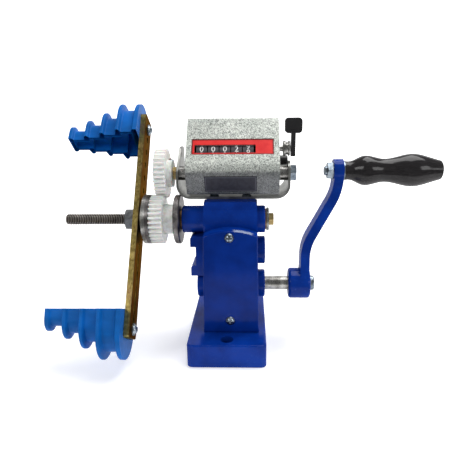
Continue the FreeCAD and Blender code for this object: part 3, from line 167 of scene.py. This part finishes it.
class Paint:
    """One material: a principled shader and the nodes that drive it. Its x, y and z are in millimetres."""

    def __init__(self, name, **fixed):
        self.material = bpy.data.materials.new(name)
        self.material.use_nodes = True
        self.tree = self.material.node_tree
        self.shader = self.tree.nodes["Principled BSDF"]
        for socket, value in fixed.items():
            self.shader.inputs[socket.replace("_", " ")].default_value = value
        coordinates = self.tree.nodes.new("ShaderNodeTexCoord")
        self.place = coordinates.outputs["Object"]
        split = self.node("ShaderNodeSeparateXYZ", {}, Vector=self.place)
        self.x = Num(self, split.outputs["X"]) * MM_PER_METRE
        self.y = Num(self, split.outputs["Y"]) * MM_PER_METRE
        self.z = Num(self, split.outputs["Z"]) * MM_PER_METRE

    def feed(self, slot, value):
        """Links a socket, or sets a plain number or colour."""
        if isinstance(value, Num):
            value = value.socket
        if isinstance(value, bpy.types.NodeSocket):
            self.tree.links.new(value, slot)
        else:
            slot.default_value = value

    def node(self, kind, settings, **inputs):
        """A node of any type with its settings and its socket values."""
        node = self.tree.nodes.new(kind)
        for key, value in settings.items():
            setattr(node, key, value)
        for key, value in inputs.items():
            self.feed(node.inputs[key.replace("_", " ")], value)
        return node

    def noise(self, per_mm, detail=2.0, roughness=0.5, distortion=0.0, place=None):
        """Smooth noise with about per_mm waves in a millimetre."""
        node = self.node("ShaderNodeTexNoise", {}, Vector=place or self.place, Scale=per_mm * MM_PER_METRE,
                         Detail=detail, Roughness=roughness, Distortion=distortion)
        return Num(self, node.outputs[0])

    def stretched(self, x, y, z, turn_x=0.0):
        """Object coordinates turned about X and then scaled along each axis."""
        node = self.node("ShaderNodeMapping", {"vector_type": "POINT"}, Vector=self.place)
        node.inputs["Rotation"].default_value = (turn_x, 0.0, 0.0)
        node.inputs["Scale"].default_value = (x, y, z)
        return node.outputs[0]

    def mix(self, share, first, second):
        """A blend of two colours."""
        node = self.node("ShaderNodeMix", {"data_type": "RGBA"})
        self.feed(node.inputs[0], share)
        self.feed(node.inputs[6], first if not isinstance(first, tuple) else (*first, 1.0))
        self.feed(node.inputs[7], second if not isinstance(second, tuple) else (*second, 1.0))
        return node.outputs[2]

    def bump(self, height, depth_mm):
        """Surface relief from a height between 0 and 1."""
        node = self.node("ShaderNodeBump", {}, Height=height, Distance=depth_mm * MM)
        self.feed(self.shader.inputs["Normal"], node.outputs["Normal"])

    def colour(self, value):
        """What the surface's colour comes from."""
        self.feed(self.shader.inputs["Base Color"], value)

    def rough(self, value):
        """What the surface's roughness comes from."""
        self.feed(self.shader.inputs["Roughness"], value)

    def distance_x(self, y, z):
        """Distance from the X line through y, z."""
        dy = self.y - y
        dz = self.z - z
        return (dy * dy + dz * dz).root()

    def above_arch(self, top):
        """Height above the column's arch with its crown at top."""
        away = self.x - COLUMN_X
        return self.z + away * away * ARCH_DROP - top

    def inside_plate(self, plate, up):
        """Distance in from the nearest edge of a plate on the counter, whose face rises along up."""
        middle_x, middle_up, half_width, half_height = plate
        climb = (self.y - CASE_BEND[0]) * up[0] + (self.z - CASE_BEND[1]) * up[1]
        side = half_width - (self.x - middle_x).size()
        return side.least(half_height - (climb - middle_up).size())


def srgb(r, g, b):
    """A screen colour of 0 to 255 as the linear values that a shader takes."""
    return tuple((v / 255 / 12.92) if v <= 10 else ((v / 255 + 0.055) / 1.055) ** 2.4 for v in (r, g, b))


def darker(colour, share):
    """A share of a colour's brightness."""
    return tuple(v * share for v in colour)


METAL_EDGE_TINT = (0.5, 0.5, 0.5, 1.0)
ZINC_EDGE_TINT = (0.3, 0.24, 0.14, 1.0)


def cast_paint():
    """Thick blue enamel over a sand casting: pebbly, glossy, chipped along the cover's arch."""
    p = Paint("cast_blue_paint", IOR=1.5, Coat_Roughness=0.14, Specular_IOR_Level=0.0)
    broad = p.noise(0.05, 3.0)
    pebble = p.noise(0.55, 3.0, 0.55)
    fine = p.noise(1.9, 2.0, 0.5)
    tone = p.mix(broad.ramp(0.3, 0.7), srgb(5, 42, 124), srgb(9, 54, 148))
    tone = p.mix(pebble.ramp(0.58, 0.78) * 0.3, tone, srgb(44, 78, 160))
    ridge = p.above_arch(CASTING_ARCH_TOP).size()
    arch_stretch = p.x.ramp(4.0, 8.0) * p.x.ramp(23.5, 20.0)
    front_rim = p.y.ramp(-24.0, -26.0) * p.y.ramp(-31.8, -31.3)
    flake = (p.noise(1.3, 3.0, 0.7) + ridge * -0.16).ramp(0.42, 0.5)
    chips = flake * arch_stretch * front_rim
    tone = p.mix(chips, tone, srgb(176, 186, 205))
    scuff = p.noise(0.8, 4.0, 0.75).ramp(0.7, 0.76) * 0.5
    p.colour(p.mix(scuff, tone, srgb(88, 118, 190)))
    p.rough(0.27 + broad * 0.12 + pebble * 0.1 + chips * 0.25)
    p.feed(p.shader.inputs["Coat Weight"], 0.24 - chips * 0.24)
    p.bump(pebble * 0.75 + fine * 0.25 - chips * 0.3, 0.22)
    return p.material


def cover_paint():
    """The same enamel on the flat machined cover, smoother than on the casting."""
    p = Paint("cover_blue_paint", IOR=1.5, Coat_Weight=0.2, Coat_Roughness=0.14, Specular_IOR_Level=0.0)
    broad = p.noise(0.045, 3.0)
    peel = p.noise(0.28, 2.0)
    tone = p.mix(broad.ramp(0.3, 0.7), srgb(4, 38, 116), srgb(7, 47, 136))
    rim = (p.noise(0.9, 3.0, 0.7) + p.above_arch(COVER_ARCH_TOP) * 0.5).ramp(0.3, 0.5)
    worn = rim * p.x.ramp(5.0, 8.0) * p.x.ramp(22.5, 20.0)
    p.colour(p.mix(worn * 0.8, tone, srgb(168, 178, 200)))
    p.rough(0.24 + peel * 0.12 + worn * 0.2)
    p.bump(peel, 0.12)
    return p.material


def form_plastic():
    """Moulded blue plastic with faint flow marks and scuffed crests."""
    p = Paint("form_blue_plastic", IOR=1.46, Specular_IOR_Level=0.15)
    flow = p.noise(0.09, 2.0, place=p.stretched(0.35, 1.0, 1.0))
    grain = p.noise(2.2, 2.0)
    tone = p.mix(flow.ramp(0.3, 0.75), srgb(5, 86, 158), srgb(9, 100, 184))
    scuff = p.noise(0.7, 4.0, 0.7).ramp(0.66, 0.78)
    p.colour(p.mix(scuff * 0.35, tone, srgb(96, 160, 222)))
    p.rough(0.42 + grain * 0.14)
    p.bump(grain * 0.5 + flow * 0.5, 0.05)
    return p.material


def white_plastic():
    """Milky moulded gears, darker in patches towards the tooth roots."""
    p = Paint("white_plastic", IOR=1.46, Subsurface_Weight=0.25, Subsurface_Scale=0.002)
    mottled = p.noise(0.14, 3.0)
    grain = p.noise(1.6, 2.0)
    from_axis = p.distance_x(0.0, SPINDLE_Z).least(p.distance_x(*COUNTER_AXIS))
    tooth_tip, tooth_root = 19.6, 18.2
    # darker in patches towards the tooth roots
    root_darkening = from_axis.ramp(tooth_tip, tooth_root) * p.noise(0.35, 3.0).ramp(0.35, 0.7)
    tone = p.mix(mottled.ramp(0.3, 0.75), srgb(250, 250, 247), srgb(236, 238, 235))
    p.colour(p.mix(root_darkening * 0.35, tone, srgb(176, 172, 160)))
    p.rough(0.34 + mottled * 0.14)
    p.bump(grain, 0.03)
    return p.material


def yellow_zinc():
    """Yellow zinc plating: gold and olive patches, rosy streaks, nicks, and painted shade darkening the face
    towards the crank.
    """
    p = Paint("yellow_zinc", Metallic=1.0, Specular_Tint=ZINC_EDGE_TINT)
    streak = p.noise(0.5, 4.0, 0.6, place=p.stretched(1.0, 1.0, 0.16, turn_x=STRIP_LEAN))
    patch = p.noise(0.06, 3.0)
    rose = p.noise(0.11, 2.0, place=p.stretched(1.0, 1.3, 0.7))
    nick = p.noise(0.7, 4.0, 0.8).ramp(0.63, 0.72)
    tone = p.mix(streak.ramp(0.3, 0.7), srgb(118, 98, 52), srgb(186, 166, 100))
    tone = p.mix(patch.ramp(0.45, 0.7) * 0.7, tone, srgb(122, 108, 58))
    tone = p.mix(rose.ramp(0.55, 0.75) * 0.4, tone, srgb(156, 112, 92))
    right_face = box_mm("arm_strip")[1][0]
    # painted shade: the strip's face towards the crank is darkened in its colour
    painted_shade_crank_side = p.x.ramp(right_face - 0.6, right_face - 0.2)
    tone = p.mix(painted_shade_crank_side * 0.8, tone, srgb(92, 78, 56))
    p.colour(p.mix(nick * 0.6, tone, srgb(70, 58, 36)))
    p.rough(0.24 + streak * 0.2 + nick * 0.2)
    p.bump(streak * 0.6 + nick * -0.4, 0.06)
    return p.material


def turned_metal(name, light, dark, roughness):
    """Lathe-turned metal: fine rings round the spindle's axis, cloudy tone and a few stains."""
    p = Paint(name, Metallic=1.0, Specular_Tint=METAL_EDGE_TINT)
    rings_per_mm = 2.2
    phase = (p.distance_x(0.0, SPINDLE_Z) + p.x) * (rings_per_mm * math.tau)
    rings = phase.wave() * 0.5 + 0.5
    cloud = p.noise(0.12, 4.0, 0.6)
    stain = p.noise(0.9, 3.0, 0.7).ramp(0.62, 0.74)
    tone = p.mix(cloud.ramp(0.3, 0.72), dark, light)
    p.colour(p.mix(stain * 0.5, tone, darker(dark, 0.45)))
    p.rough(roughness + rings * 0.08 + cloud * 0.12 + stain * 0.12)
    p.bump(rings, 0.012)
    return p.material


def thread_metal():
    """Dull steel thread with painted shade: the roots are painted dark and the crests left bright."""
    p = Paint("thread_steel", Metallic=1.0, Specular_Tint=METAL_EDGE_TINT)
    cloud = p.noise(0.12, 4.0, 0.6)
    crest, valley = THREAD_RADIUS - 0.14, THREAD_RADIUS - 0.69
    # painted shade: the colour darkens from the thread's crests into its roots
    root = p.distance_x(0.0, SPINDLE_Z).ramp(crest, valley)
    tone = p.mix(cloud.ramp(0.3, 0.72), srgb(158, 152, 146), srgb(206, 200, 194))
    p.colour(p.mix(root * 0.92, tone, srgb(30, 27, 25)))
    p.rough(0.26 + cloud * 0.12 + root * 0.3)
    p.bump(cloud, 0.01)
    return p.material


def plated(name, light, dark, roughness, per_mm=0.16):
    """Plated fastener metal with soft clouds, tool marks and handling scratches."""
    p = Paint(name, Metallic=1.0, Specular_Tint=METAL_EDGE_TINT)
    cloud = p.noise(per_mm, 3.0, 0.6)
    scratch = p.noise(0.9, 3.0, 0.6, place=p.stretched(0.12, 1.0, 1.0)).ramp(0.58, 0.7)
    tone = p.mix(cloud.ramp(0.3, 0.7), dark, light)
    p.colour(p.mix(scratch * 0.4, tone, darker(dark, 0.5)))
    p.rough(roughness + cloud * 0.14 + scratch * 0.1)
    p.bump(cloud - scratch, 0.02)
    return p.material


def hammered_paint():
    """Silver hammer-finish paint: worm-like dark dimples on a pale metallic ground, with painted shade
    darkening the lower face below the bend.
    """
    p = Paint("hammered_silver_paint", IOR=1.5, Metallic=0.35, Coat_Weight=0.3, Coat_Roughness=0.2)
    worm = ((p.noise(0.36, 3.0, 0.6, 1.4) - 0.5) * 9.0).size()
    thin_worm = ((p.noise(0.7, 2.0, 0.6, 1.1) - 0.5) * 8.0).size()
    dark = (worm.ramp(0.55, 0.15) * 0.85 + thin_worm.ramp(0.4, 0.1) * 0.5).least(1.0)
    broad = p.noise(0.05, 2.0)
    tone = p.mix(broad.ramp(0.3, 0.7), srgb(206, 211, 203), srgb(224, 228, 220))
    bend_height = p.z + (p.y - CASE_BEND[0]) * 0.4
    # painted shade: the downward-facing face below the bend is darkened in its colour
    painted_shade_below_bend = bend_height.ramp(158.5, 155.0) * p.y.ramp(4.0, 0.0)
    tone = p.mix(painted_shade_below_bend * 0.8, tone, srgb(96, 96, 102))
    p.colour(p.mix(dark * 0.85, tone, srgb(70, 74, 72)))
    p.rough(0.34 + dark * 0.2)
    p.bump(1.0 - dark, 0.1)
    return p.material


def red_enamel():
    """Red screened plate with a painted shadow: a thin dark band just inside its edge."""
    p = Paint("red_enamel", IOR=1.5, Specular_IOR_Level=0.2)
    # painted shadow: the plate's edge is darkened in its colour, where the case's opening shades it
    rim = p.inside_plate(RED_PLATE, FACE_UP).ramp(0.55, 0.3)
    cloud = p.noise(0.12, 3.0)
    tone = p.mix(cloud.ramp(0.3, 0.7), srgb(214, 36, 38), srgb(226, 50, 48))
    p.colour(p.mix(rim * 0.75, tone, srgb(92, 24, 26)))
    p.rough(0.36 + cloud * 0.12)
    p.bump(cloud, 0.02)
    return p.material


def dark_plate():
    """Dark blank plate with a thin pale line inside its edge."""
    p = Paint("dark_plate", IOR=1.5, Specular_IOR_Level=0.3)
    inside = p.inside_plate(NAME_PLATE, LOWER_UP)
    line = inside.ramp(0.75, 0.9) * inside.ramp(1.25, 1.1)
    cloud = p.noise(0.3, 3.0, 0.6)
    tone = p.mix(cloud.ramp(0.3, 0.7), srgb(36, 36, 46), srgb(50, 50, 60))
    p.colour(p.mix(line * 0.5, tone, srgb(124, 124, 132)))
    p.rough(0.36 + cloud * 0.16)
    p.bump(cloud, 0.03)
    return p.material


def black_finish(name, low, high, roughness, per_mm, depth, coat):
    """A black moulded or lacquered surface with faint dust and handling marks."""
    p = Paint(name, IOR=1.5, Coat_Weight=coat, Coat_Roughness=0.12)
    cloud = p.noise(per_mm, 3.0, 0.6)
    dust = p.noise(1.5, 3.0, 0.7).ramp(0.6, 0.78)
    tone = p.mix(cloud.ramp(0.3, 0.7), low, high)
    p.colour(p.mix(dust * 0.06, tone, srgb(120, 118, 116)))
    p.rough(roughness + cloud * 0.12 + dust * 0.1)
    p.bump(cloud, depth)
    return p.material


def lacquered_wood():
    """Black lacquer on turned wood: long faint grain, fine turning rings and a soft shine."""
    p = Paint("black_wood", IOR=1.5, Coat_Weight=0.45, Coat_Roughness=0.12, Specular_IOR_Level=0.0)
    grain = p.noise(0.9, 4.0, 0.65, place=p.stretched(0.05, 1.0, 1.0))
    cloud = p.noise(0.05, 3.0)
    rings = (p.x * 4.4).wave() * 0.5 + 0.5
    dust = p.noise(1.2, 3.0, 0.7).ramp(0.62, 0.8)
    tone = p.mix(grain.ramp(0.35, 0.7), srgb(32, 30, 31), srgb(44, 42, 43))
    p.colour(p.mix(dust * 0.05, tone, srgb(128, 124, 120)))
    p.rough(0.3 + grain * 0.14 + cloud * 0.12)
    p.bump(grain * 0.8 + rings * 0.2, 0.03)
    return p.material


def wheel_black():
    """Dark grey figure wheels with a satin moulded face."""
    p = Paint("digit_black", IOR=1.46)
    cloud = p.noise(0.4, 3.0)
    p.colour(p.mix(cloud.ramp(0.3, 0.7), srgb(52, 50, 56), srgb(66, 64, 70)))
    p.rough(0.5 + cloud * 0.15)
    p.bump(cloud, 0.03)
    return p.material


def figure_white():
    """Printed white figures, a little uneven."""
    p = Paint("figure_white", IOR=1.46)
    cloud = p.noise(1.2, 3.0)
    p.colour(p.mix(cloud.ramp(0.3, 0.7), srgb(226, 226, 224), srgb(244, 244, 242)))
    p.rough(0.5 + cloud * 0.1)
    p.bump(cloud, 0.01)
    return p.material


def floor_paint():
    """Plain pale floor that glows more with distance, so that it fades to white."""
    p = Paint("pale_floor", Base_Color=(0.9, 0.9, 0.9, 1.0), Roughness=0.8, Emission_Strength=1.0)
    near, far = 150.0, 900.0
    away = (p.x * p.x + p.y * p.y).root().ramp(near, far)
    p.feed(p.shader.inputs["Emission Color"], p.mix(away, (0.36, 0.36, 0.37), (0.85, 0.85, 0.85)))
    return p.material


blue_plastic = form_plastic()
thread_steel = thread_metal()
figures_white = figure_white()
bright = turned_metal("bright_steel", srgb(186, 185, 181), srgb(128, 126, 122), 0.2)
dark_disc = turned_metal("dark_steel", srgb(150, 146, 144), srgb(84, 80, 80), 0.24)
zinc = plated("zinc_steel", srgb(156, 166, 174), srgb(92, 102, 112), 0.22)
dull_zinc = plated("dull_zinc_steel", srgb(150, 152, 152), srgb(104, 106, 108), 0.34)
sheet = plated("sheet_steel", srgb(172, 172, 168), srgb(124, 124, 120), 0.24, 0.05)
brass = plated("brass", srgb(178, 158, 112), srgb(128, 108, 70), 0.26)
bronze = plated("bronze", srgb(176, 140, 96), srgb(124, 96, 64), 0.36)
black_moulded = black_finish("black_plastic", srgb(12, 11, 13), srgb(22, 20, 23), 0.4, 0.4, 0.05, 0.0)
black_lacquer = black_finish("black_paint", srgb(10, 9, 11), srgb(20, 18, 21), 0.34, 0.6, 0.06, 0.3)

looks = {
    cast_paint(): ("cast_frame", "crank_arm"),
    cover_paint(): ("front_cover",),
    white_plastic(): ("spindle_gear", "counter_gear"),
    yellow_zinc(): ("arm_strip",),
    bright: ("dished_disc", "end_washer", "crank_shaft", "wheel_axle", "drive_sleeve", "pivot_spacers",
             "counter_shaft", "reset_shaft", "reset_collar", "spindle_shaft"),
    dark_disc: ("flat_disc", "spindle_collar", "idler_axle", "idler_gear", "idler_pinion", "crank_gear",
                "spindle_pinion"),
    dull_zinc: ("spindle_nut",),
    zinc: ("cover_screws", "upper_form_screw", "lower_form_screw", "crank_nut", "handle_bolt",
           "handle_nut", "handle_washer", "bracket_screws", "pivot_bolt"),
    sheet: ("counter_bracket",),
    brass: ("brass_nut", "end_bolt"),
    bronze: ("spindle_bush_left", "spindle_bush_right", "crank_bush_left", "crank_bush_right"),
    hammered_paint(): ("counter_shell", "counter_left_side", "counter_right_side"),
    red_enamel(): ("red_plate",),
    dark_plate(): ("name_plate",),
    black_moulded: ("stop_stud",),
    black_lacquer: ("reset_lever", "counter_set_screw"),
    lacquered_wood(): ("handle_grip",),
    wheel_black(): tuple("digit_wheel_%d" % k for k in range(1, WHEEL_COUNT + 1)),
    blue_plastic: ("upper_form", "lower_form"),
}
for material, names in looks.items():
    for name in names:
        nodes[name].data.materials.clear()
        nodes[name].data.materials.append(material)


def grid_faces(rows, columns, wrap):
    """Quads over a grid of points; wrap joins the last column to the first."""
    across = columns if wrap else columns - 1
    r, c = np.meshgrid(np.arange(rows - 1), np.arange(across), indexing="ij")
    following = (c + 1) % columns
    return np.stack([r * columns + c, r * columns + following, (r + 1) * columns + following,
                     (r + 1) * columns + c], axis=-1).reshape(-1, 4).tolist()


def flipped_outward(points, faces):
    """Turns all faces round if the closed surface encloses a negative volume."""
    p = np.asarray(points, float)
    volume = 0.0
    for f in faces:
        for k in range(1, len(f) - 1):
            volume += np.dot(p[f[0]], np.cross(p[f[k]], p[f[k + 1]]))
    return [f[::-1] for f in faces] if volume < 0 else faces


def piece(name, points, faces, material, body, smooth):
    """A mesh from points in millimetres, shaded smooth up to an angle in degrees, riding on a body."""
    mesh = bpy.data.meshes.new(name)
    mesh.from_pydata((np.asarray(points, float) * MM).tolist(), [], faces)
    mesh.validate()
    mesh.update()
    mesh.materials.append(material)
    obj = bpy.data.objects.new(name, mesh)
    bpy.context.scene.collection.objects.link(obj)
    mesh.shade_smooth()
    mesh.set_sharp_from_angle(angle=math.radians(smooth))
    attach(obj, body)
    return obj


def threaded_spindle():
    """The spindle as a tube of rings along X. On the threaded end the radius is the crest's less the depth
    times (1 - tooth), where tooth is the distance of (x / pitch - turn) from the middle of a thread, made
    steep and cut flat at 0 and 1. The thread fades out at the nut, and the plain part is a round bar."""
    low, high = box_mm("spindle_shaft")
    left, right = low[0], high[0]
    thread_end = box_mm("spindle_nut")[0][0]
    rings_per_thread, corners = 10, 40
    run_out, step_length, last_stretch = 0.4, 0.01, 1.0
    chamfer_length, end_radius = 1.2, 3.9
    flank_slope, flat_share = 2.6, 0.3
    turns = np.arange(corners) / corners
    xs = np.concatenate([np.arange(left, thread_end, THREAD_PITCH / rings_per_thread),
                         [thread_end, thread_end + step_length, right - last_stretch, right]])
    chamfer = np.clip((xs - left) / chamfer_length, 0, 1)
    fade = np.clip((thread_end - xs) / run_out, 0, 1)
    phase = (xs[:, None] / THREAD_PITCH - turns[None, :]) % 1.0
    tooth = np.clip(np.abs(phase - 0.5) * flank_slope - flat_share, 0, 1)
    crest = np.where(xs < thread_end, THREAD_RADIUS, SHAFT_RADIUS)[:, None]
    r = crest - THREAD_DEPTH * (1 - tooth) * fade[:, None]
    r = np.minimum(r, end_radius + (SHAFT_RADIUS - end_radius) * chamfer[:, None])
    angle = turns[None, :] * math.tau
    tube = np.stack([np.broadcast_to(xs[:, None], r.shape), r * np.sin(angle),
                     SPINDLE_Z + r * np.cos(angle)], -1)
    points = tube.reshape(-1, 3).tolist()
    faces = grid_faces(len(xs), corners, True)
    points += [[xs[0], 0, SPINDLE_Z], [xs[-1], 0, SPINDLE_Z]]
    left_middle, right_middle = len(points) - 2, len(points) - 1
    last = (len(xs) - 1) * corners
    for k in range(corners):
        following = (k + 1) % corners
        faces.append([left_middle, following, k])
        faces.append([right_middle, last + k, last + following])
    obj = piece("threaded_spindle", points, flipped_outward(points, faces), thread_steel, "spindle",
                50.0)
    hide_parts("spindle_shaft")


def form_radius(d):
    """Outline radius at a distance d from the strip: flat grooves, and at each crest a fin over them of
    (crest - groove) * (1 + cos(pi * u)) / 2, with u rising from 0 to 1 over the fin's flank."""
    flat_half = 0.55 * CREST_HALF
    tip_flat, tip_slope = 0.9, 0.9
    radius = np.full(d.shape, FORM_GROOVES[0])
    for k, groove in enumerate(FORM_GROOVES):
        radius = np.where(d > CREST_FIRST + k * CREST_PITCH, groove, radius)
    for k, crest in enumerate(FORM_CRESTS):
        away = d - (CREST_FIRST + k * CREST_PITCH)
        if k == 0:
            away = np.maximum(away, 0.0)
        if k == len(FORM_CRESTS) - 1:
            away = np.where(away > 0, np.maximum(away - tip_flat, 0.0) * tip_slope, away)
        u = np.clip((np.abs(away) - flat_half) / (CREST_FOOT - flat_half), 0, 1)
        radius = radius + (crest - radius) * (1 + np.cos(math.pi * u)) / 2
    return radius


def hollow_rows():
    """Distances from the strip and radii of the form's stepped hollow: one level under each groove."""
    step_length = 0.01
    ends = [CREST_FIRST + (k + 1) * CREST_PITCH - CREST_HALF for k in range(len(FORM_GROOVES))]
    starts = [END_WALL] + [end + step_length for end in ends[:-1]]
    distances = np.array([d for pair in zip(starts, ends) for d in pair])
    return distances, np.repeat(np.array(FORM_GROOVES) - FORM_WALL, 2)


def u_surface(d, radius, face_x, count):
    """Rows of count points along the form, one U in each: straight up one side, over the half circle and
    straight down the other. The sides are SIDE_SHARE of the radius high, and the flat side is at 0."""
    total = 2 * SIDE_SHARE + math.pi
    s = np.linspace(0, total, count)
    over = np.clip(s - SIDE_SHARE, 0, math.pi)
    rising = s < SIDE_SHARE
    falling = s > SIDE_SHARE + math.pi
    across = np.where(rising, -1.0, np.where(falling, 1.0, -np.cos(over)))
    up = np.where(rising, s, np.where(falling, np.maximum(total - s, 0.0), SIDE_SHARE + np.sin(over)))
    x = np.broadcast_to(face_x - d[:, None], (len(d), count))
    return np.stack([x, np.outer(radius, across), np.outer(radius, up)], -1).reshape(-1, 3)


def open_sides(first, rows, count):
    """The points along both open sides of a U surface, out along one and back along the other."""
    near = [first + r * count for r in range(rows)]
    far = [first + r * count + count - 1 for r in range(rows)]
    return near + far[::-1]


def rim_with_hole(points, outline, hole):
    """One face between an outline and a hole in it, slit where the outline passes the hole's first point."""
    near = range(len(outline) // 2)
    start = min(near, key=lambda k: abs(points[outline[k]][0] - points[hole[0]][0]))
    return outline[start:] + outline[:start + 1] + hole[:1] + hole[:0:-1] + hole[:1]


def turned_about_x(y, z, angle):
    """Y and Z turned about the X axis."""
    return y * math.cos(angle) - z * math.sin(angle), y * math.sin(angle) + z * math.cos(angle)


def winding_form(name, node, body, screw_reach, face_x, lower):
    """The stepped hollow form as two swept U surfaces, outer and inner, joined round the open flat side and
    closed by the thick wall at the strip and the thin wall at the tip. Its radius is form_radius."""
    rows, count = 216, 65
    d_out = np.linspace(0, FORM_LENGTH, rows)
    d_in, r_in = hollow_rows()
    outer = u_surface(d_out, form_radius(d_out), face_x, count)
    inner = u_surface(d_in, r_in, face_x, count)
    points = np.concatenate([outer, inner])
    first_in = len(outer)
    last_out, last_in = first_in - count, len(points) - count
    one_u = list(range(count))
    faces = grid_faces(rows, count, False)
    faces += [[first_in + i for i in f[::-1]] for f in grid_faces(len(d_in), count, False)]
    faces.append(one_u[::-1])
    faces.append([last_out + i for i in one_u])
    faces.append([first_in + i for i in one_u])
    faces.append([last_in + i for i in one_u][::-1])
    faces.append(rim_with_hole(points, open_sides(0, rows, count), open_sides(first_in, len(d_in), count)))
    y, z = turned_about_x(points[:, 1], points[:, 2] - SCREW_RISE, FORM_TURN if lower else -FORM_TURN)
    y, z = turned_about_x(y, z + screw_reach, (math.pi if lower else 0.0) - STRIP_LEAN)
    placed = np.stack([points[:, 0], y, SPINDLE_Z + z], -1)
    obj = piece(name, placed, faces, blue_plastic, body, 38.0)
    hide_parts(node)


def numeral(text, height):
    """A flat numeral as a thin closed mesh, centred, height in millimetres."""
    curve = bpy.data.curves.new("numeral", "FONT")
    curve.body = text
    curve.align_x = "CENTER"
    curve.size = 1.0
    curve.extrude = 0.01
    curve.resolution_u = 3
    holder = bpy.data.objects.new("numeral", curve)
    bpy.context.scene.collection.objects.link(holder)
    bpy.context.view_layer.update()
    mesh = bpy.data.meshes.new_from_object(holder)
    bpy.data.objects.remove(holder)
    co = np.array([v.co for v in mesh.vertices])
    faces = [list(p.vertices) for p in mesh.polygons]
    bpy.data.meshes.remove(mesh)
    low, high = co.min(0), co.max(0)
    scale = height / (high[1] - low[1])
    co[:, :2] = (co[:, :2] - (low[:2] + high[:2]) / 2) * scale
    return co, faces


def wheel_figures(wheel, reading):
    """Ten numerals bent round a figure wheel. A point's angle is the window's, less a tenth of a turn for
    each figure past the reading, less its height over the radius; its radius is just on the wheel's rim."""
    height, width_share = 5.4, 0.92
    above_rim, below_rim, lean = 0.06, -0.05, 0.06
    low, high = box_mm("digit_wheel_%d" % wheel)
    middle_x, middle_y, middle_z = ((a + b) / 2 for a, b in zip(low, high))
    radius = (high[1] - low[1]) / 2
    window = math.atan2(FACE_OUT[1], FACE_OUT[0])
    points, faces = [], []
    for number in range(10):
        co, number_faces = numeral(str(number), height)
        angle = window - (number - reading) * math.tau / 10 - co[:, 1] / radius - lean
        out = radius + np.where(co[:, 2] > 0, above_rim, below_rim)
        start = len(points)
        points += np.stack([middle_x + co[:, 0] * width_share, middle_y + out * np.cos(angle),
                            middle_z + out * np.sin(angle)], -1).tolist()
        faces += [[start + i for i in f] for f in number_faces]
    piece("figures_%d" % wheel, points, flipped_outward(points, faces), figures_white,
          "digits_%d" % wheel, 30.0)


strip_left = box_mm("arm_strip")[0][0]
threaded_spindle()
winding_form("stepped_form_upper", "upper_form", "spindle", UPPER_SCREW_REACH, strip_left, False)
winding_form("stepped_form_lower", "lower_form", "lower_form_block", LOWER_SCREW_REACH,
             strip_left - SLIDING_GAP, True)
for index, reading in enumerate((0, 0, 0, 2, 8.6)):
    wheel_figures(WHEEL_COUNT - index, reading)


def sweep():
    """A plain pale floor, metres, that bends up into a wall behind the machine."""
    front, back, bend, half_width, wall_top, drop = -0.22, 1.6, 0.6, 3.0, 1.6, 0.0005
    turns = np.linspace(0, math.pi / 2, 13)
    profile = [(front, 0.0), (back - bend, 0.0)]
    profile += [(back - bend + bend * math.sin(a), bend - bend * math.cos(a)) for a in turns[1:]]
    profile += [(back, wall_top)]
    points = [(x, y, z - drop) for y, z in profile for x in (-half_width, half_width)]
    mesh = bpy.data.meshes.new("sweep")
    mesh.from_pydata(points, [], grid_faces(len(profile), 2, False))
    mesh.shade_smooth()
    mesh.materials.append(floor_paint())
    floor = bpy.data.objects.new("sweep", mesh)
    bpy.context.scene.collection.objects.link(floor)


def soft_light(name, place, size, power):
    """A square lamp that faces the machine, metres and watts."""
    aim = Vector((0, 0, 0.1))
    light = bpy.data.lights.new(name, "AREA")
    light.size = size
    light.energy = power
    lamp = bpy.data.objects.new(name, light)
    lamp.location = place
    lamp.rotation_euler = (aim - Vector(place)).to_track_quat("-Z", "Y").to_euler()
    bpy.context.scene.collection.objects.link(lamp)


def studio_world():
    """An even, faintly cool surrounding light."""
    world = bpy.data.worlds.new("studio")
    bpy.context.scene.world = world
    world.use_nodes = True
    background = world.node_tree.nodes["Background"]
    background.inputs["Color"].default_value = (0.97, 0.985, 1.0, 1.0)
    background.inputs["Strength"].default_value = 0.26


def camera():
    """The camera at the photograph's place, millimetres, and angles; the focal length is in pixels."""
    place = Vector((20.25, -387.29, 212.81)) * MM
    azimuth, elevation, roll = math.radians(1.8), math.radians(16.7), math.radians(-0.6)
    sensor, focal_pixels, picture_pixels = 36.0, 460.0, 474.0
    back = Vector((math.sin(azimuth) * math.cos(elevation), -math.cos(azimuth) * math.cos(elevation),
                   math.sin(elevation)))
    right = Vector((math.cos(azimuth), math.sin(azimuth), 0))
    upward = back.cross(right)
    x_axis = right * math.cos(roll) + upward * math.sin(roll)
    y_axis = upward * math.cos(roll) - right * math.sin(roll)
    turn = Matrix((x_axis, y_axis, back)).transposed().to_4x4()
    data = bpy.data.cameras.new("camera")
    data.sensor_width = sensor
    data.lens = sensor * focal_pixels / picture_pixels
    data.clip_start = 0.01
    holder = bpy.data.objects.new("camera", data)
    holder.matrix_world = Matrix.Translation(place) @ turn
    bpy.context.scene.collection.objects.link(holder)
    bpy.context.scene.camera = holder
    bpy.context.scene.view_settings.view_transform = "Standard"


sweep()
studio_world()
soft_light("top", (0.3, 0.2, 1.1), 0.8, 13.0)
soft_light("left", (-0.8, -0.9, 0.8), 0.5, 5.0)
soft_light("right", (0.9, -0.7, 0.5), 0.4, 2.5)
camera()
